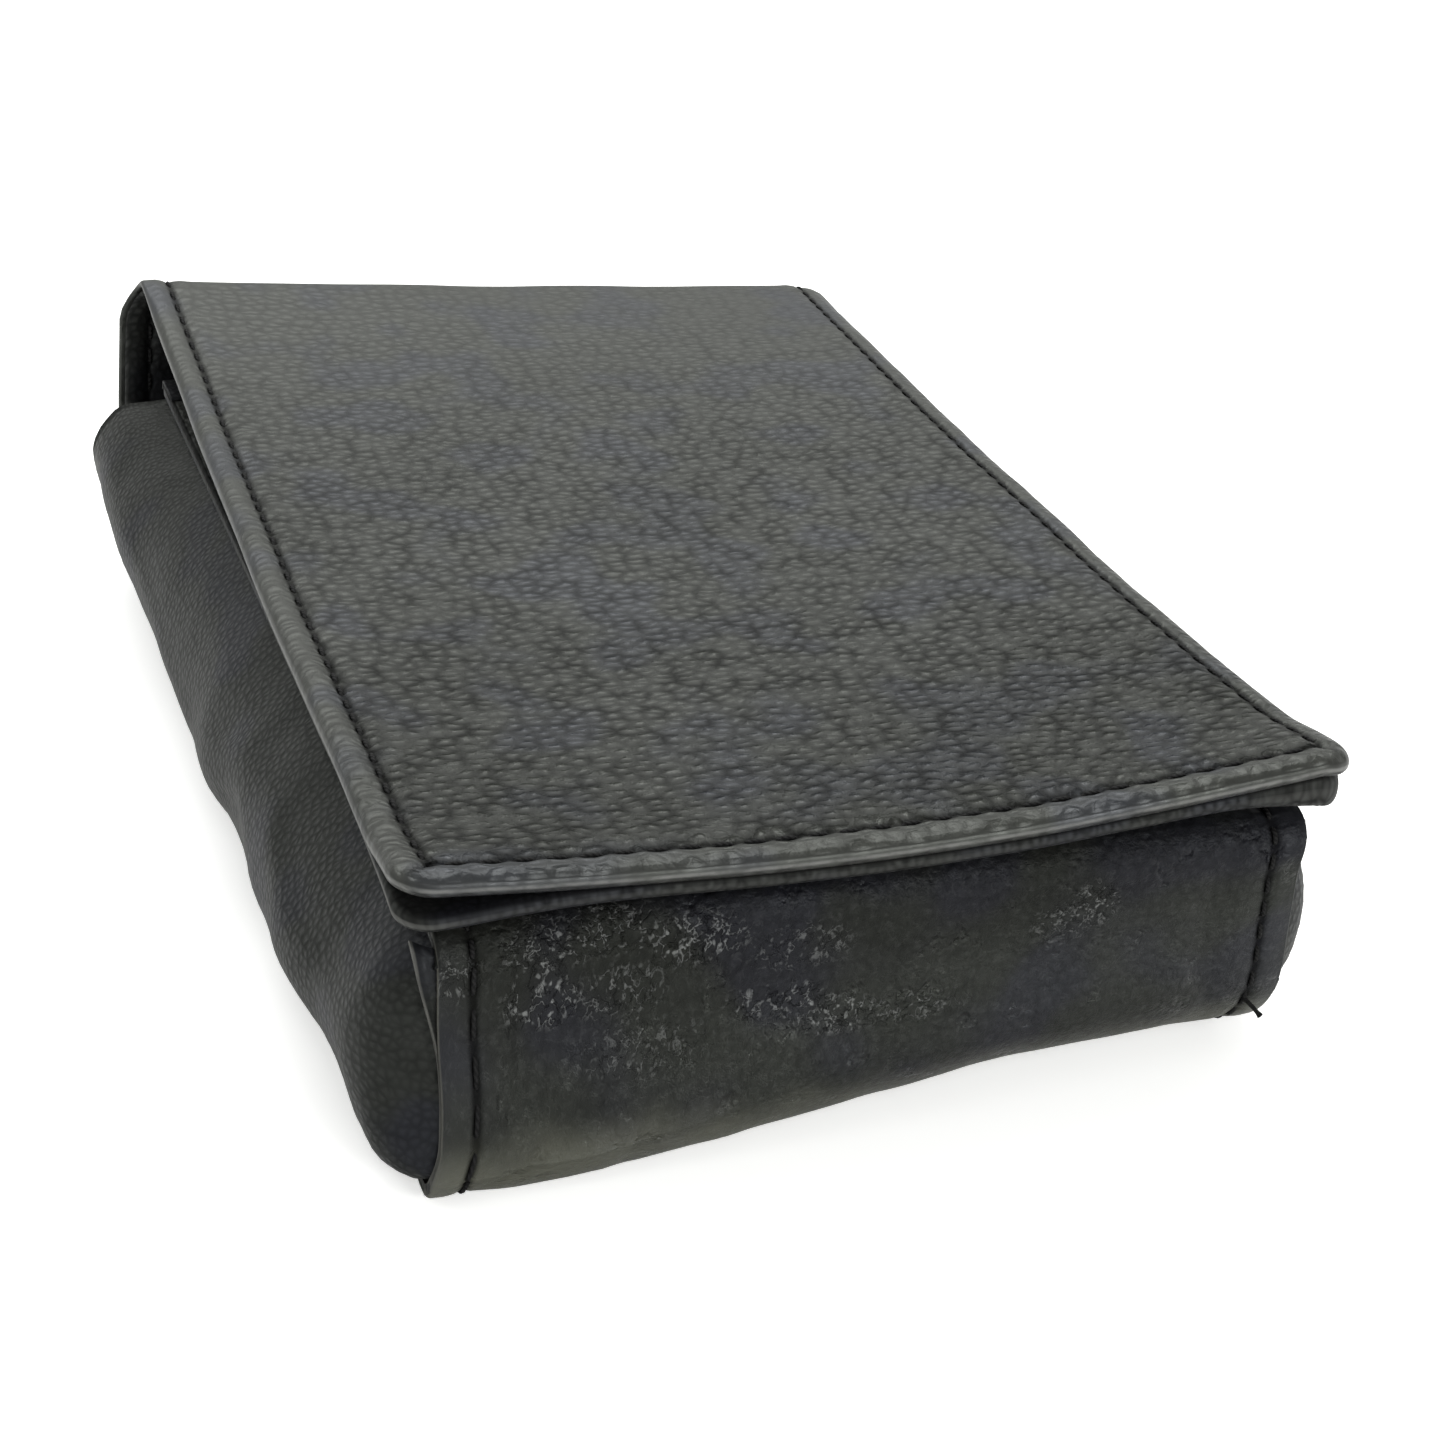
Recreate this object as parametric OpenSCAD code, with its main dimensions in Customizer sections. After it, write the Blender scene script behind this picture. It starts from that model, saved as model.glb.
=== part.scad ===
// Ever-ready leather case for a flat folding camera.
// The case lies on its back: X is its width, Y runs from the closed end (-Y)
// to the mouth and folds (+Y), Z is its depth. The back is therefore the lowest
// panel and the front panel and flap are on top. Left is -X.
// Origin: centre of the footprint, on the plane the back rests on. Millimetres.

/* [Overall] */
// Width of the cover flap
flap_w = 118; // [114:0.5:126]
// Overall length, flap edge to the outside of the spine
case_l = 190; // [180:1:205]
// Overall depth, back to the top of the flap
case_h = 43; // [41:0.5:48]

/* [Pouch] */
// Width of the pouch across its two sewn seams
pouch_w = 113; // [110:0.5:114]
// Depth of the pouch, back to front panel
pouch_h = 36.5; // [35.5:0.5:36.5]
// How far the flap stands past the closed end
overhang = 2.5; // [1:0.5:5]
// Radius where the closed end rolls under into the back
end_r = 15; // [10:0.5:16]
// Radius where the closed end meets the front panel
front_r = 5; // [4:0.5:7]
// Y of the front panel's mouth edge
mouth_y = 80; // [66:1:84]
// How far each gusset bulges beyond its seam base
bulge = 14; // [6:0.5:15.5]
// Width of the seam allowance left outside the gusset
seam_w = 5; // [4.5:0.1:6]

/* [Leather and boards] */
// Thickness of the outer hide
hide_t = 1.2; // [1:0.1:1.3]
// Thickness of the pouch lining
lining_t = 0.8; // [0.5:0.1:0.9]
// Thickness of the stiffening boards
board_t = 1.1; // [0.8:0.05:1.15]
// Outer radius of the two folds over the mouth
fold_r = 4.5; // [4.5:0.1:6]
// Near-corner radius of the flap
flap_corner_r = 5; // [3:0.5:8]
// Width of the hem turned under the flap board
hem_w = 8; // [7:0.5:12]

/* [Stitching] */
// Distance from one stitch to the next
pitch = 3.8; // [3:0.1:5]
// Length of the thread that shows in one stitch
stitch_l = 2.7; // [1.8:0.1:2.9]
// Width of the thread
stitch_w = 0.6; // [0.4:0.05:0.8]
// Flap stitch line, measured in from the flap's edge
flap_inset = 4.5; // [3.5:0.1:6]
// Seam stitch line, measured in from the seam's edge
seam_inset = 3.5; // [3:0.1:4]

/* [Press stud] */
// Distance of the press stud from the flap's free edge
snap_in = 23; // [16:1:40]
// Radius of the stud's head
stud_r = 3.3; // [2.8:0.1:3.4]
// Bore radius of the socket
socket_bore_r = 3.75; // [3.75:0.05:4]
// Outside radius of the socket
socket_r = 6.3; // [5.6:0.1:7]

/* [Hidden] */
$fn = 48;

// Main positions
y_near = -case_l / 2;              // flap's free edge
y_far = case_l / 2;                // outside of the spine
y_end = y_near + overhang;         // outside of the closed end
y_back = y_far - fold_r;           // where the back turns into the back fold
z_fold = case_h - fold_r;          // where the spine turns into the front fold

// Clearances
gap = 0.03;                        // between glued layers
rest_gap = 0.02;                   // under parts that rest on the hide or flap
board_gap = 0.05;                  // between the wrap and its boards
cut = 1;                           // overrun of cutting shapes

// Stitching
groove_d = 0.4;                    // depth of the seam, spine and flap grooves
groove_w = 1.1;                    // width of those grooves
thread_t = 0.33;                   // height of a stitch in its groove
thread_gap = 0.01;                 // between a stitch and its groove's floor
thread_in = groove_d - thread_gap; // depth of a stitch's underside
groove_stop = 1.5;                 // seam groove's distance from the wrap's edges
seam_stop = 2;                     // stitching's distance from the wrap's edges

// Pouch walls, as insets from the outside of the wrap
wrap_in = hide_t + gap;            // clear inside of the hide
lining_out = hide_t + board_t + 0.2;
lining_in = lining_out + lining_t;
lining_stop = 0.05;                // lining's distance from the wrap's edges
front_board_z = pouch_h - hide_t - board_gap - board_t;

// Gussets
gusset_t = 1.2;
gusset_lining_t = 0.5;
gusset_lining_gap = 0.15;          // between a gusset and its lining
gusset_x = pouch_w / 2 - seam_w;   // inside of the gusset at its base
board_w = 2 * (gusset_x - gusset_lining_t) - 1.2;

// Flap build-up, from the top down
skin_t = 1.2;                      // top hide
pocket_h = 0.9;                    // pocket for the card
flap_board_t = 0.84;               // card inside the flap
hem_t = 0.6;                       // skived hem under the card
flap_lining_t = 1.2;               // lower leather of the flap
z_skin = case_h - skin_t;          // underside of the top hide
z_hem = z_skin - pocket_h;         // top of the hem
z_rim = z_hem - hem_t;             // underside of the hem
z_flap = z_rim - flap_lining_t;    // underside of the flap
lining_edge = 0.8;                 // lower leather's setback from the flap's edge
pocket_edge = 1.2;                 // pocket's setback
flap_board_edge = 1.3;             // card's setback

// Flap stitch line
flap_stitch_x = flap_w / 2 - flap_inset;
flap_stitch_y = y_near + flap_inset;
flap_side_l = y_back - seam_stop - flap_stitch_y;

// Press stud
snap_y = y_near + snap_in;
post_r = 2.0;
post_hole_r = post_r + 0.1;        // hole through leather and board
post_bore_r = post_r + 0.05;       // bore in the metal parts
post_flange_r = 5.0;
stud_base_r = 5.2;
stud_base_t = 0.5;
stud_top = pouch_h + 1.8;
cap_r = 6.2;
socket_z = pouch_h + 0.7;
socket_top = z_flap - rest_gap;
socket_roof = 0.6;
roof_z = socket_top - socket_roof; // underside of the socket's roof
spring_groove_z = socket_z + 0.25;
spring_groove_h = 0.6;
spring_groove_r = 4.45;
spring_ring_r = 4.12;
spring_wire_r = 0.25;

hide_col = [0.17, 0.17, 0.16];
gusset_col = [0.14, 0.14, 0.15];
lining_col = [0.10, 0.10, 0.11];
flap_lining_col = [0.15, 0.15, 0.15];
board_col = [0.55, 0.46, 0.34];
thread_col = [0.06, 0.06, 0.06];
metal_col = [0.72, 0.70, 0.66];

// ---------- shared shapes ----------

// Draws its 2D child in the Y-Z plane and gives it width w about X = x.
module across(w, x = 0)
    translate([x - w / 2, 0, 0]) rotate([90, 0, 90]) linear_extrude(w) children();

// Side outline of the pouch, shrunk by inset all round, from the closed end to y1.
module side2d(inset, y1) {
    low_r = end_r - inset;
    top_r = max(front_r - inset, 0.6);
    y0 = y_end + inset;
    z0 = inset;
    z1 = pouch_h - inset;
    lap = 0.01;
    translate([y0 + low_r, z0]) square([y1 - y0 - low_r, z1 - z0]);
    translate([y0, z0 + low_r]) square([low_r + lap, z1 - top_r - z0 - low_r]);
    translate([y0 + top_r, z0 + low_r]) square([low_r - top_r + lap, z1 - z0 - low_r]);
    translate([y0 + low_r, z0 + low_r]) circle(low_r);
    translate([y0 + top_r, z1 - top_r]) circle(top_r);
}

// A layer of the pouch wall between two insets. The front leg stops at
// front_y and the back leg at back_y.
module wall2d(outer, inner, front_y, back_y) {
    trim = [200, 100];
    difference() {
        side2d(outer, y_far + 10);
        side2d(inner, y_far + 20);
        translate([front_y, pouch_h / 2]) square(trim);
        translate([back_y, -trim[1] / 2]) square(trim);
    }
}

// Plan outline of the flap, shrunk by inset on its three free sides, up to y1.
module plan2d(inset, y1) {
    r = flap_corner_r - inset;
    half_w = flap_w / 2 - inset;
    y0 = y_near + inset;
    if (r > 0.3) {
        translate([-half_w, y0 + r]) square([2 * half_w, y1 - y0 - r]);
        translate([-half_w + r, y0]) square([2 * (half_w - r), r + 0.01]);
        for (side = [-1, 1]) translate([side * (half_w - r), y0 + r]) circle(r);
    } else {
        translate([-half_w, y0]) square([2 * half_w, y1 - y0]);
    }
}

// An upright disc on the press stud's axis.
module snap_disc(r, z, h) translate([0, snap_y, z]) cylinder(r = r, h = h);

// One stitch lying on a surface: length along the local X axis.
module stitch()
    translate([-stitch_l / 2, -stitch_w / 2, 0]) cube([stitch_l, stitch_w, thread_t]);

// A centred row of stitches along X, each turned about X.
module cross_row(count, y, z, turn = 0)
    for (i = [0 : count - 1])
        translate([(i - (count - 1) / 2) * pitch, y, z]) rotate([turn, 0, 0]) stitch();

// ---------- seam path round the side of the pouch ----------

// Lengths of the legs along the groove's floor: front, small arc, end, big arc, back.
seam_legs = [
    mouth_y - seam_stop - (y_end + front_r),
    PI / 2 * (front_r - groove_d),
    pouch_h - front_r - end_r,
    PI / 2 * (end_r - groove_d),
    y_back - seam_stop - (y_end + end_r)
];

// Distance along the path to the start of leg i.
function reach(i) = i == 0 ? 0 : reach(i - 1) + seam_legs[i - 1];

// Points of the path are [y, z, direction of travel in degrees].
// Point at angle a on the corner of outer radius r centred on (y, z).
function corner_at(y, z, r, a) =
    [y + (r - groove_d) * cos(a), z + (r - groove_d) * sin(a), a + 90];

// Point at distance s along the path.
function seam_at(s) =
    s < reach(1) ? [mouth_y - seam_stop - s, pouch_h - groove_d, 180] :
    s < reach(2) ?
        corner_at(y_end + front_r, pouch_h - front_r, front_r,
                  90 + (s - reach(1)) / seam_legs[1] * 90) :
    s < reach(3) ? [y_end + groove_d, pouch_h - front_r - (s - reach(2)), 270] :
    s < reach(4) ?
        corner_at(y_end + end_r, end_r, end_r, 180 + (s - reach(3)) / seam_legs[3] * 90) :
    [y_end + end_r + (s - reach(4)), groove_d, 360];

module seam_stitches(x) {
    count = floor(reach(5) / pitch);
    step = reach(5) / count;
    for (i = [0 : count - 1])
        let (at = seam_at((i + 0.5) * step))
        translate([x, at[0], at[1]])
            rotate([at[2], 0, 0]) rotate([0, 0, 90])
            mirror([0, 0, 1]) translate([0, 0, thread_gap]) stitch();
}

// ---------- gusset surface ----------

gusset_y = y_end + wrap_in;        // closed end of the gusset
gusset_low_r = end_r - wrap_in;    // its corner at the back
gusset_top_r = front_r - wrap_in;  // its corner at the front panel
gusset_tip = y_back - 2.5;         // mouth corner at the back
swell_run = 30;                    // length over which the bulge grows
slope_y = 15;                      // Y where the mouth's slope starts to act
slope_v = 0.3;                     // height share where it starts
mouth_in = 0.5;                    // gusset's setback from the front panel's edge

function smooth(t) = let (c = min(max(t, 0), 1)) c * c * (3 - 2 * c);

// How far a rounded corner of radius r, shrunk by e, cuts into the height at y.
function corner_cut(y, r, e) = let (centre = gusset_y + r, s = r - e)
    y >= centre ? 0 : s - sqrt(max(s * s - pow(min(centre - y, s), 2), 0));
// Lowest and highest Z inside the wrap at y, shrunk by e.
function z_lo(y, e) = wrap_in + e + corner_cut(y, gusset_low_r, e);
function z_hi(y, e) = pouch_h - wrap_in - e - corner_cut(y, gusset_top_r, e);

// How far the web stands out at length y and height share v.
function swell(y, v) =
    let (t = min(max((y - gusset_y - gusset_t) / swell_run, 0), 1))
    bulge * sqrt(1 - pow(1 - t, 2)) * pow(max(sin(180 * pow(v, 0.86)), 0), 0.85);

// Y shift for the mouth edge: full length at the back, short at the front panel.
function slope(y, v) =
    -smooth((y - slope_y) / (gusset_tip - slope_y)) * (gusset_tip - mouth_y + mouth_in)
    * smooth((v - slope_v) / (1 - slope_v));

web_steps = 10;
shares = [for (k = [0 : web_steps]) k / web_steps];
shares_down = [for (k = [web_steps : -1 : 0]) k / web_steps];

// Y of each section: the solid end wall, the rounded end, then even steps to the mouth.
long_y = gusset_y + gusset_low_r + 1;
long_steps = 13;
stations = concat(
    [gusset_y, gusset_y + gusset_t, gusset_y + gusset_t + 0.35],
    [for (a = [24 : 11 : 90]) gusset_y + gusset_low_r * (1 - cos(a)) + 0.9],
    [for (k = [1 : long_steps]) long_y + k * (gusset_tip - long_y) / long_steps]);

// Outline of the gusset hide at station i: low flange, web's outside,
// top flange, then the inside back down. The first two sections are solid.
function gusset_ring(i) =
    let (y = stations[i], lo = z_lo(y, 0), hi = z_hi(y, 0), solid = i < 2,
         edge = pouch_w / 2, y_low = y + slope(y, 0), y_top = y + slope(y, 1))
    concat(
        [[edge, y_low, lo], [edge, y_low, lo + gusset_t]],
        [for (v = shares)
            [solid ? edge : gusset_x + gusset_t + swell(y, v), y + slope(y, v),
             lo + gusset_t + v * (hi - lo - 2 * gusset_t)]],
        [[edge, y_top, hi - gusset_t], [edge, y_top, hi]],
        [for (v = shares_down)
            [gusset_x + (solid ? 0 : swell(y, v)), y + slope(y, v), lo + v * (hi - lo)]]);

// Outline of the gusset lining at station i: outside up, inside down.
function lining_ring(i) =
    let (y = stations[i] + 0.05, lo = z_lo(y, 0.35), hi = z_hi(y, 0.35),
         x = gusset_x - gusset_lining_gap)
    concat(
        [for (v = shares)
            [x + swell(stations[i], v), y + slope(y, v), lo + v * (hi - lo)]],
        [for (v = shares_down)
            [x - gusset_lining_t + swell(stations[i], v), y + slope(y, v), lo + v * (hi - lo)]]);

// Quads that cap a ring of n points, pairing the web's outside, which starts
// at point first, with its inside.
function web_quads(first, n) =
    [for (k = [0 : web_steps - 1]) [first + k, first + k + 1, n - 2 - k, n - 1 - k]];

// Closes a list of equal rings into a solid, with the given quads as end caps.
module loft(rings, quads) {
    n = len(rings[0]);
    last = len(rings) - 1;
    polyhedron(
        points = [for (ring = rings) each ring],
        faces = concat(
            [for (i = [0 : last - 1], j = [0 : n - 1])
                let (k = (j + 1) % n, a = i * n, b = a + n)
                each [[a + j, b + j, b + k], [a + j, b + k, a + k]]],
            [for (end = [0, last], quad = quads)
                let (q = [for (p = quad) end * n + p])
                each (end == 0
                    ? [[q[0], q[1], q[2]], [q[0], q[2], q[3]]]
                    : [[q[0], q[2], q[1]], [q[0], q[3], q[2]]])]),
        convexity = 8);
}

module gusset_shape() {
    rings = [for (i = [0 : len(stations) - 1]) gusset_ring(i)];
    n = len(rings[0]);
    top = web_steps + 2;  // last point of the web's outside
    loft(rings, concat([[0, 1, 2, n - 1]], web_quads(2, n),
                       [[top, top + 1, top + 2, top + 3]]));
}

module gusset_lining_shape() {
    rings = [for (i = [0 : len(stations) - 1]) lining_ring(i)];
    loft(rings, web_quads(0, len(rings[0])));
}

// ---------- pouch ----------

seam_x = pouch_w / 2 - seam_inset;

module body_wrap()
    color(hide_col) difference() {
        across(pouch_w) wall2d(0, hide_t, mouth_y, y_back);
        // stitch grooves along both seams
        for (side = [-1, 1])
            across(groove_w, side * seam_x)
                wall2d(-cut, groove_d, mouth_y - groove_stop, y_back - groove_stop);
        // hole for the press stud's post
        snap_disc(post_hole_r, pouch_h - hide_t - cut, hide_t + 2 * cut);
    }

module left_gusset() color(gusset_col) mirror([1, 0, 0]) gusset_shape();
module right_gusset() color(gusset_col) gusset_shape();
module left_gusset_lining() color(lining_col) mirror([1, 0, 0]) gusset_lining_shape();
module right_gusset_lining() color(lining_col) gusset_lining_shape();

// A stiffening board from y0 to y1 with its underside at z.
module board(y0, y1, z)
    translate([-board_w / 2, y0, z]) cube([board_w, y1 - y0, board_t]);

module front_board()
    color(board_col) difference() {
        board(y_end + front_r + 2, mouth_y - 0.6, front_board_z);
        snap_disc(post_hole_r, front_board_z - cut, board_t + 2 * cut);
        // recess for the post's flange
        snap_disc(post_flange_r + 0.2, front_board_z - cut, cut + 0.65);
    }

module back_board()
    color(board_col) board(y_end + end_r + 3, y_back - 2, hide_t + board_gap);

module pouch_lining()
    color(lining_col) across(board_w)
        wall2d(lining_out, lining_in, mouth_y - lining_stop, y_back - lining_stop);

binding_t = 0.6;
binding_w = 8;                        // width of each leg, back from the mouth
binding_top_z = pouch_h + rest_gap;   // underside of the top leg
binding_low_z = pouch_h - lining_in - rest_gap - binding_t;
binding_groove_w = 0.9;
binding_groove_d = 0.3;
binding_stitch_y = mouth_y - 5.95;

module mouth_binding() {
    leg_y = mouth_y - binding_w;
    leg_l = binding_w + gap + binding_t;
    groove_l = pouch_w - 6;
    color(hide_col) difference() {
        union() {
            // leg on the front panel, strip over the edge, leg under the lining
            translate([-pouch_w / 2, leg_y, binding_top_z])
                cube([pouch_w, leg_l, binding_t]);
            translate([-board_w / 2, mouth_y + gap, binding_low_z])
                cube([board_w, binding_t, lining_in + binding_t + 0.1]);
            translate([-board_w / 2, leg_y, binding_low_z])
                cube([board_w, leg_l, binding_t]);
        }
        // stitch groove
        translate([-groove_l / 2, binding_stitch_y - binding_groove_w / 2,
                   binding_top_z + binding_t - binding_groove_d])
            cube([groove_l, binding_groove_w, 1]);
    }
}

module mouth_binding_thread()
    color(thread_col)
        cross_row(floor((pouch_w - 8) / pitch), binding_stitch_y,
                  binding_top_z + binding_t - binding_groove_d + thread_gap);

module left_seam_thread() color(thread_col) seam_stitches(-seam_x);
module right_seam_thread() color(thread_col) seam_stitches(seam_x);

// ---------- folds and spine ----------

fold_lining_t = 1.1;               // lining of the folds and spine
spine_flare_h = 10;                // height over which the spine widens to the flap
spine_h = z_fold - fold_r;

// A quarter-round layer between radii r0 and r1, centred on (y_back, z),
// filling the outer quarter above z or below it.
module fold2d(z, r0, r1, above)
    translate([y_back, z]) intersection() {
        difference() {
            circle(r1);
            circle(r0);
        }
        translate([0, above ? 0 : -20]) square([20, 20]);
    }
module fold_hide2d(z, above) fold2d(z, fold_r - hide_t, fold_r, above);
module fold_lining2d(z, above)
    fold2d(z, fold_r - hide_t - fold_lining_t, fold_r - hide_t - gap, above);

// An upright sheet of the spine, its outer face at y, half as wide as given
// at the foot and at the top.
module spine_sheet(y, t, foot, top)
    translate([0, y, 0]) rotate([90, 0, 0]) linear_extrude(t)
        polygon([[-foot, fold_r], [foot, fold_r], [top, fold_r + spine_flare_h],
                 [top, z_fold], [-top, z_fold], [-top, fold_r + spine_flare_h]]);

module back_fold_leather() color(hide_col) across(pouch_w) fold_hide2d(fold_r, false);
module back_fold_lining() color(lining_col) across(board_w) fold_lining2d(fold_r, false);

module spine_leather()
    color(hide_col) difference() {
        spine_sheet(y_far, hide_t, pouch_w / 2, flap_w / 2);
        for (side = [-1, 1])
            translate([side * flap_stitch_x - groove_w / 2, y_far - groove_d, fold_r - cut])
                cube([groove_w, 2, spine_h + 2 * cut]);
    }

module spine_lining()
    color(flap_lining_col)
        spine_sheet(y_far - wrap_in, fold_lining_t, board_w / 2, flap_w / 2 - lining_edge);

module spine_thread() {
    count = floor(spine_h / pitch);
    step = spine_h / count;
    color(thread_col)
        for (side = [-1, 1], i = [0 : count - 1])
            translate([side * flap_stitch_x, y_far - thread_in, fold_r + (i + 0.5) * step])
                rotate([-90, 0, 0]) rotate([0, 0, 90]) stitch();
}

module front_fold_leather() color(hide_col) across(flap_w) fold_hide2d(z_fold, true);
module front_fold_lining()
    color(flap_lining_col) across(flap_w - 2 * lining_edge) fold_lining2d(z_fold, true);

// ---------- flap ----------

// Cutter for the stitch groove in the flap's face at z, which looks up or down.
module flap_groove(z, up) {
    z0 = up ? -groove_d : -cut;
    h = cut + groove_d;
    y0 = flap_stitch_y - groove_w / 2;
    translate([0, 0, z]) {
        for (side = [-1, 1])
            translate([side * flap_stitch_x - groove_w / 2, y0, z0])
                cube([groove_w, flap_side_l + 10, h]);
        translate([-flap_stitch_x - groove_w / 2, y0, z0])
            cube([2 * flap_stitch_x + groove_w, groove_w, h]);
    }
}

// Stitches of the flap, kept off the two corners so that no two stitches touch.
module flap_row(z, up) {
    turn = up ? 0 : 180;
    for (side = [-1, 1], i = [0 : floor((flap_side_l - 2) / pitch) - 1])
        translate([side * flap_stitch_x, flap_stitch_y + 3.2 + i * pitch, z])
            rotate([0, turn, 0]) rotate([0, 0, 90]) stitch();
    cross_row(floor((2 * flap_stitch_x - 3) / pitch), flap_stitch_y, z, turn);
}

module flap_leather()
    color(hide_col) difference() {
        translate([0, 0, z_rim]) linear_extrude(case_h - z_rim) plan2d(0, y_back);
        // pocket that the board slides into, between the skin and the hem
        translate([0, 0, z_hem])
            linear_extrude(z_skin - z_hem) plan2d(pocket_edge, y_back + cut);
        // open centre inside the hem
        translate([0, 0, z_rim - cut])
            linear_extrude(z_skin - z_rim + cut) plan2d(hem_w, y_back + cut);
        flap_groove(case_h, true);
    }

module flap_board()
    color(board_col) difference() {
        translate([0, 0, z_hem + gap])
            linear_extrude(flap_board_t) plan2d(flap_board_edge, y_back - 1.5);
        // hole for the snap's cap
        snap_disc(cap_r + 0.15, z_hem - cut, 3);
    }

module flap_lining()
    color(flap_lining_col) difference() {
        translate([0, 0, z_flap])
            linear_extrude(flap_lining_t - gap) plan2d(lining_edge, y_back);
        snap_disc(post_hole_r, z_flap - cut, 4);
        flap_groove(z_flap, false);
    }

module flap_thread() color(thread_col) flap_row(case_h - thread_in, true);
module flap_lining_thread() color(thread_col) flap_row(z_flap + thread_in, false);

// ---------- press stud ----------

// Profile of a bore of radius r, lapping over the axis.
module bore2d(r, z, h) translate([-cut, z]) square([r + cut, h]);

module snap_post() {
    shank_z = front_board_z + 0.3;
    color(metal_col) {
        snap_disc(post_flange_r, front_board_z + 0.05, 0.55);
        snap_disc(post_r, shank_z, stud_top - 0.5 - shank_z);
    }
}

module snap_stud()
    color(metal_col) translate([0, snap_y, pouch_h + rest_gap]) rotate_extrude()
        difference() {
            // base, neck, head and crown
            union() {
                square([stud_base_r, stud_base_t]);
                square([stud_r - 0.35, 1.2]);
                translate([0, 0.9]) square([stud_r, 0.5]);
                translate([0, 0.8]) square([stud_r - 0.3, 0.98]);
            }
            bore2d(post_bore_r, -cut, cut + 1.35);
        }

module snap_socket()
    color(metal_col) translate([0, snap_y, 0]) rotate_extrude()
        difference() {
            translate([0, socket_z]) square([socket_r, socket_top - socket_z]);
            // mouth for the stud
            bore2d(socket_bore_r, socket_z - cut, roof_z - socket_z + cut);
            // groove that holds the spring
            bore2d(spring_groove_r, spring_groove_z, spring_groove_h);
            // hole for the cap's shank
            bore2d(post_bore_r, socket_z, 10);
            // softened outer edge
            translate([socket_r - 0.4, socket_z - 0.01]) rotate(-45) square([2, 2]);
        }

// Open ring of round wire, its opening centred on +X
module snap_spring()
    color(metal_col) translate([0, snap_y, spring_groove_z + spring_groove_h / 2])
        rotate([0, 0, 15]) rotate_extrude(angle = 330)
            translate([spring_ring_r, 0]) circle(spring_wire_r);

module snap_cap() {
    shank_z = roof_z + 0.05;
    color(metal_col) {
        snap_disc(cap_r, z_hem + gap, 0.8);
        snap_disc(post_r, shank_z, z_hem + 0.5 - shank_z);
    }
}

body_wrap();
left_gusset();
right_gusset();
front_board();
back_board();
pouch_lining();
left_gusset_lining();
right_gusset_lining();
mouth_binding();
mouth_binding_thread();
left_seam_thread();
right_seam_thread();
snap_stud();
snap_post();
back_fold_leather();
back_fold_lining();
spine_leather();
spine_lining();
spine_thread();
front_fold_leather();
front_fold_lining();
flap_leather();
flap_board();
flap_lining();
flap_thread();
flap_lining_thread();
snap_cap();
snap_socket();
snap_spring();
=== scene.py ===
"""Leather ever-ready case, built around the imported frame.

The case lies on its back on z = 0, with x across it from left to right. The pouch's
closed end faces -y and its front panel faces up. The spine stands at the +y end, and
the cover's flap runs from it back over the pouch to a free edge near the closed end.
Lengths are millimetres until a mesh is made, and metres in the studio.
"""
import math

import bpy
import numpy as np
from mathutils import Matrix, Vector


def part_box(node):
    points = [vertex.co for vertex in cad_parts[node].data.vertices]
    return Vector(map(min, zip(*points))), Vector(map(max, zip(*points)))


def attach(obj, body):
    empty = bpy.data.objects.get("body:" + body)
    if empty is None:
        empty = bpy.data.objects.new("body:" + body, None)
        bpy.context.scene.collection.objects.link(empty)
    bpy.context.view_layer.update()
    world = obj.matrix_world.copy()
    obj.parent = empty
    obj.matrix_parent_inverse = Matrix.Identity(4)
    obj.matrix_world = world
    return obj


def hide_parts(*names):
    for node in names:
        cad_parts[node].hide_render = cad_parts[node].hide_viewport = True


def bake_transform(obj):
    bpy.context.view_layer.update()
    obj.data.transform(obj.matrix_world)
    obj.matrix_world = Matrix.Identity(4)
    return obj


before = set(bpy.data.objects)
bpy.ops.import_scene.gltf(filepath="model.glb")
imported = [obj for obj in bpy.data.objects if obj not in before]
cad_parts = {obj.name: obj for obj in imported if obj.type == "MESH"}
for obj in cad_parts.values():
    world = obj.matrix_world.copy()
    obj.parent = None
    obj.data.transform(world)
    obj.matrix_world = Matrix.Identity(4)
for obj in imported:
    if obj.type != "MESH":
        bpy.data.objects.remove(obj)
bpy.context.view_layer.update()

# ---------------------------------------------------------------- dimensions


def cad_box(piece):
    low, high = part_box(piece)
    return [c * 1000 for c in low], [c * 1000 for c in high]


flap_low, flap_high = cad_box("flap_leather")
pouch_low, pouch_high = cad_box("body_wrap")
FLAP_HALF = flap_high[0]                       # half width of the flap
FLAP_EDGE_Y = flap_low[1]                      # the flap's free edge
FLAP_TOP = flap_high[2]
SPINE_Y = cad_box("spine_leather")[1][1]       # outside of the spine
POUCH_HALF = pouch_high[0]
END_Y = pouch_low[1]                           # outside of the closed end
POUCH_TOP = pouch_high[2]
FOLD_Y = cad_box("back_fold_leather")[0][1]    # start of the back fold
FOLD_R = SPINE_Y - FOLD_Y
MOUTH_Y = cad_box("front_board")[1][1] + 0.6   # mouth edge of the front panel
LINING_HALF = cad_box("pouch_lining")[1][0]
FLAP_LINING_HALF = cad_box("flap_lining")[1][0]
END_TOP_R = 5.0                                # nominal radii of the closed end
END_FOOT_R = 15.0
FOOT_R_LEFT, FOOT_R_RIGHT = 3.4, 16.6          # the foot's settled radius at either side
HIDE = 1.2                                     # hide thickness
PITCH = 3.8                                    # stitch spacing
COVER_INSET = 4.5                              # stitch line to edge, on the cover
SEAM_INSET = 4.3                               # the same on the pouch
LINING_INSET = 3.7                             # the same on the flap's lining


def smooth(t):
    t = np.clip(t, 0, 1)
    return t * t * (3 - 2 * t)


def bell(offset, width):
    return np.exp(-((offset / width) ** 2))


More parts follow.
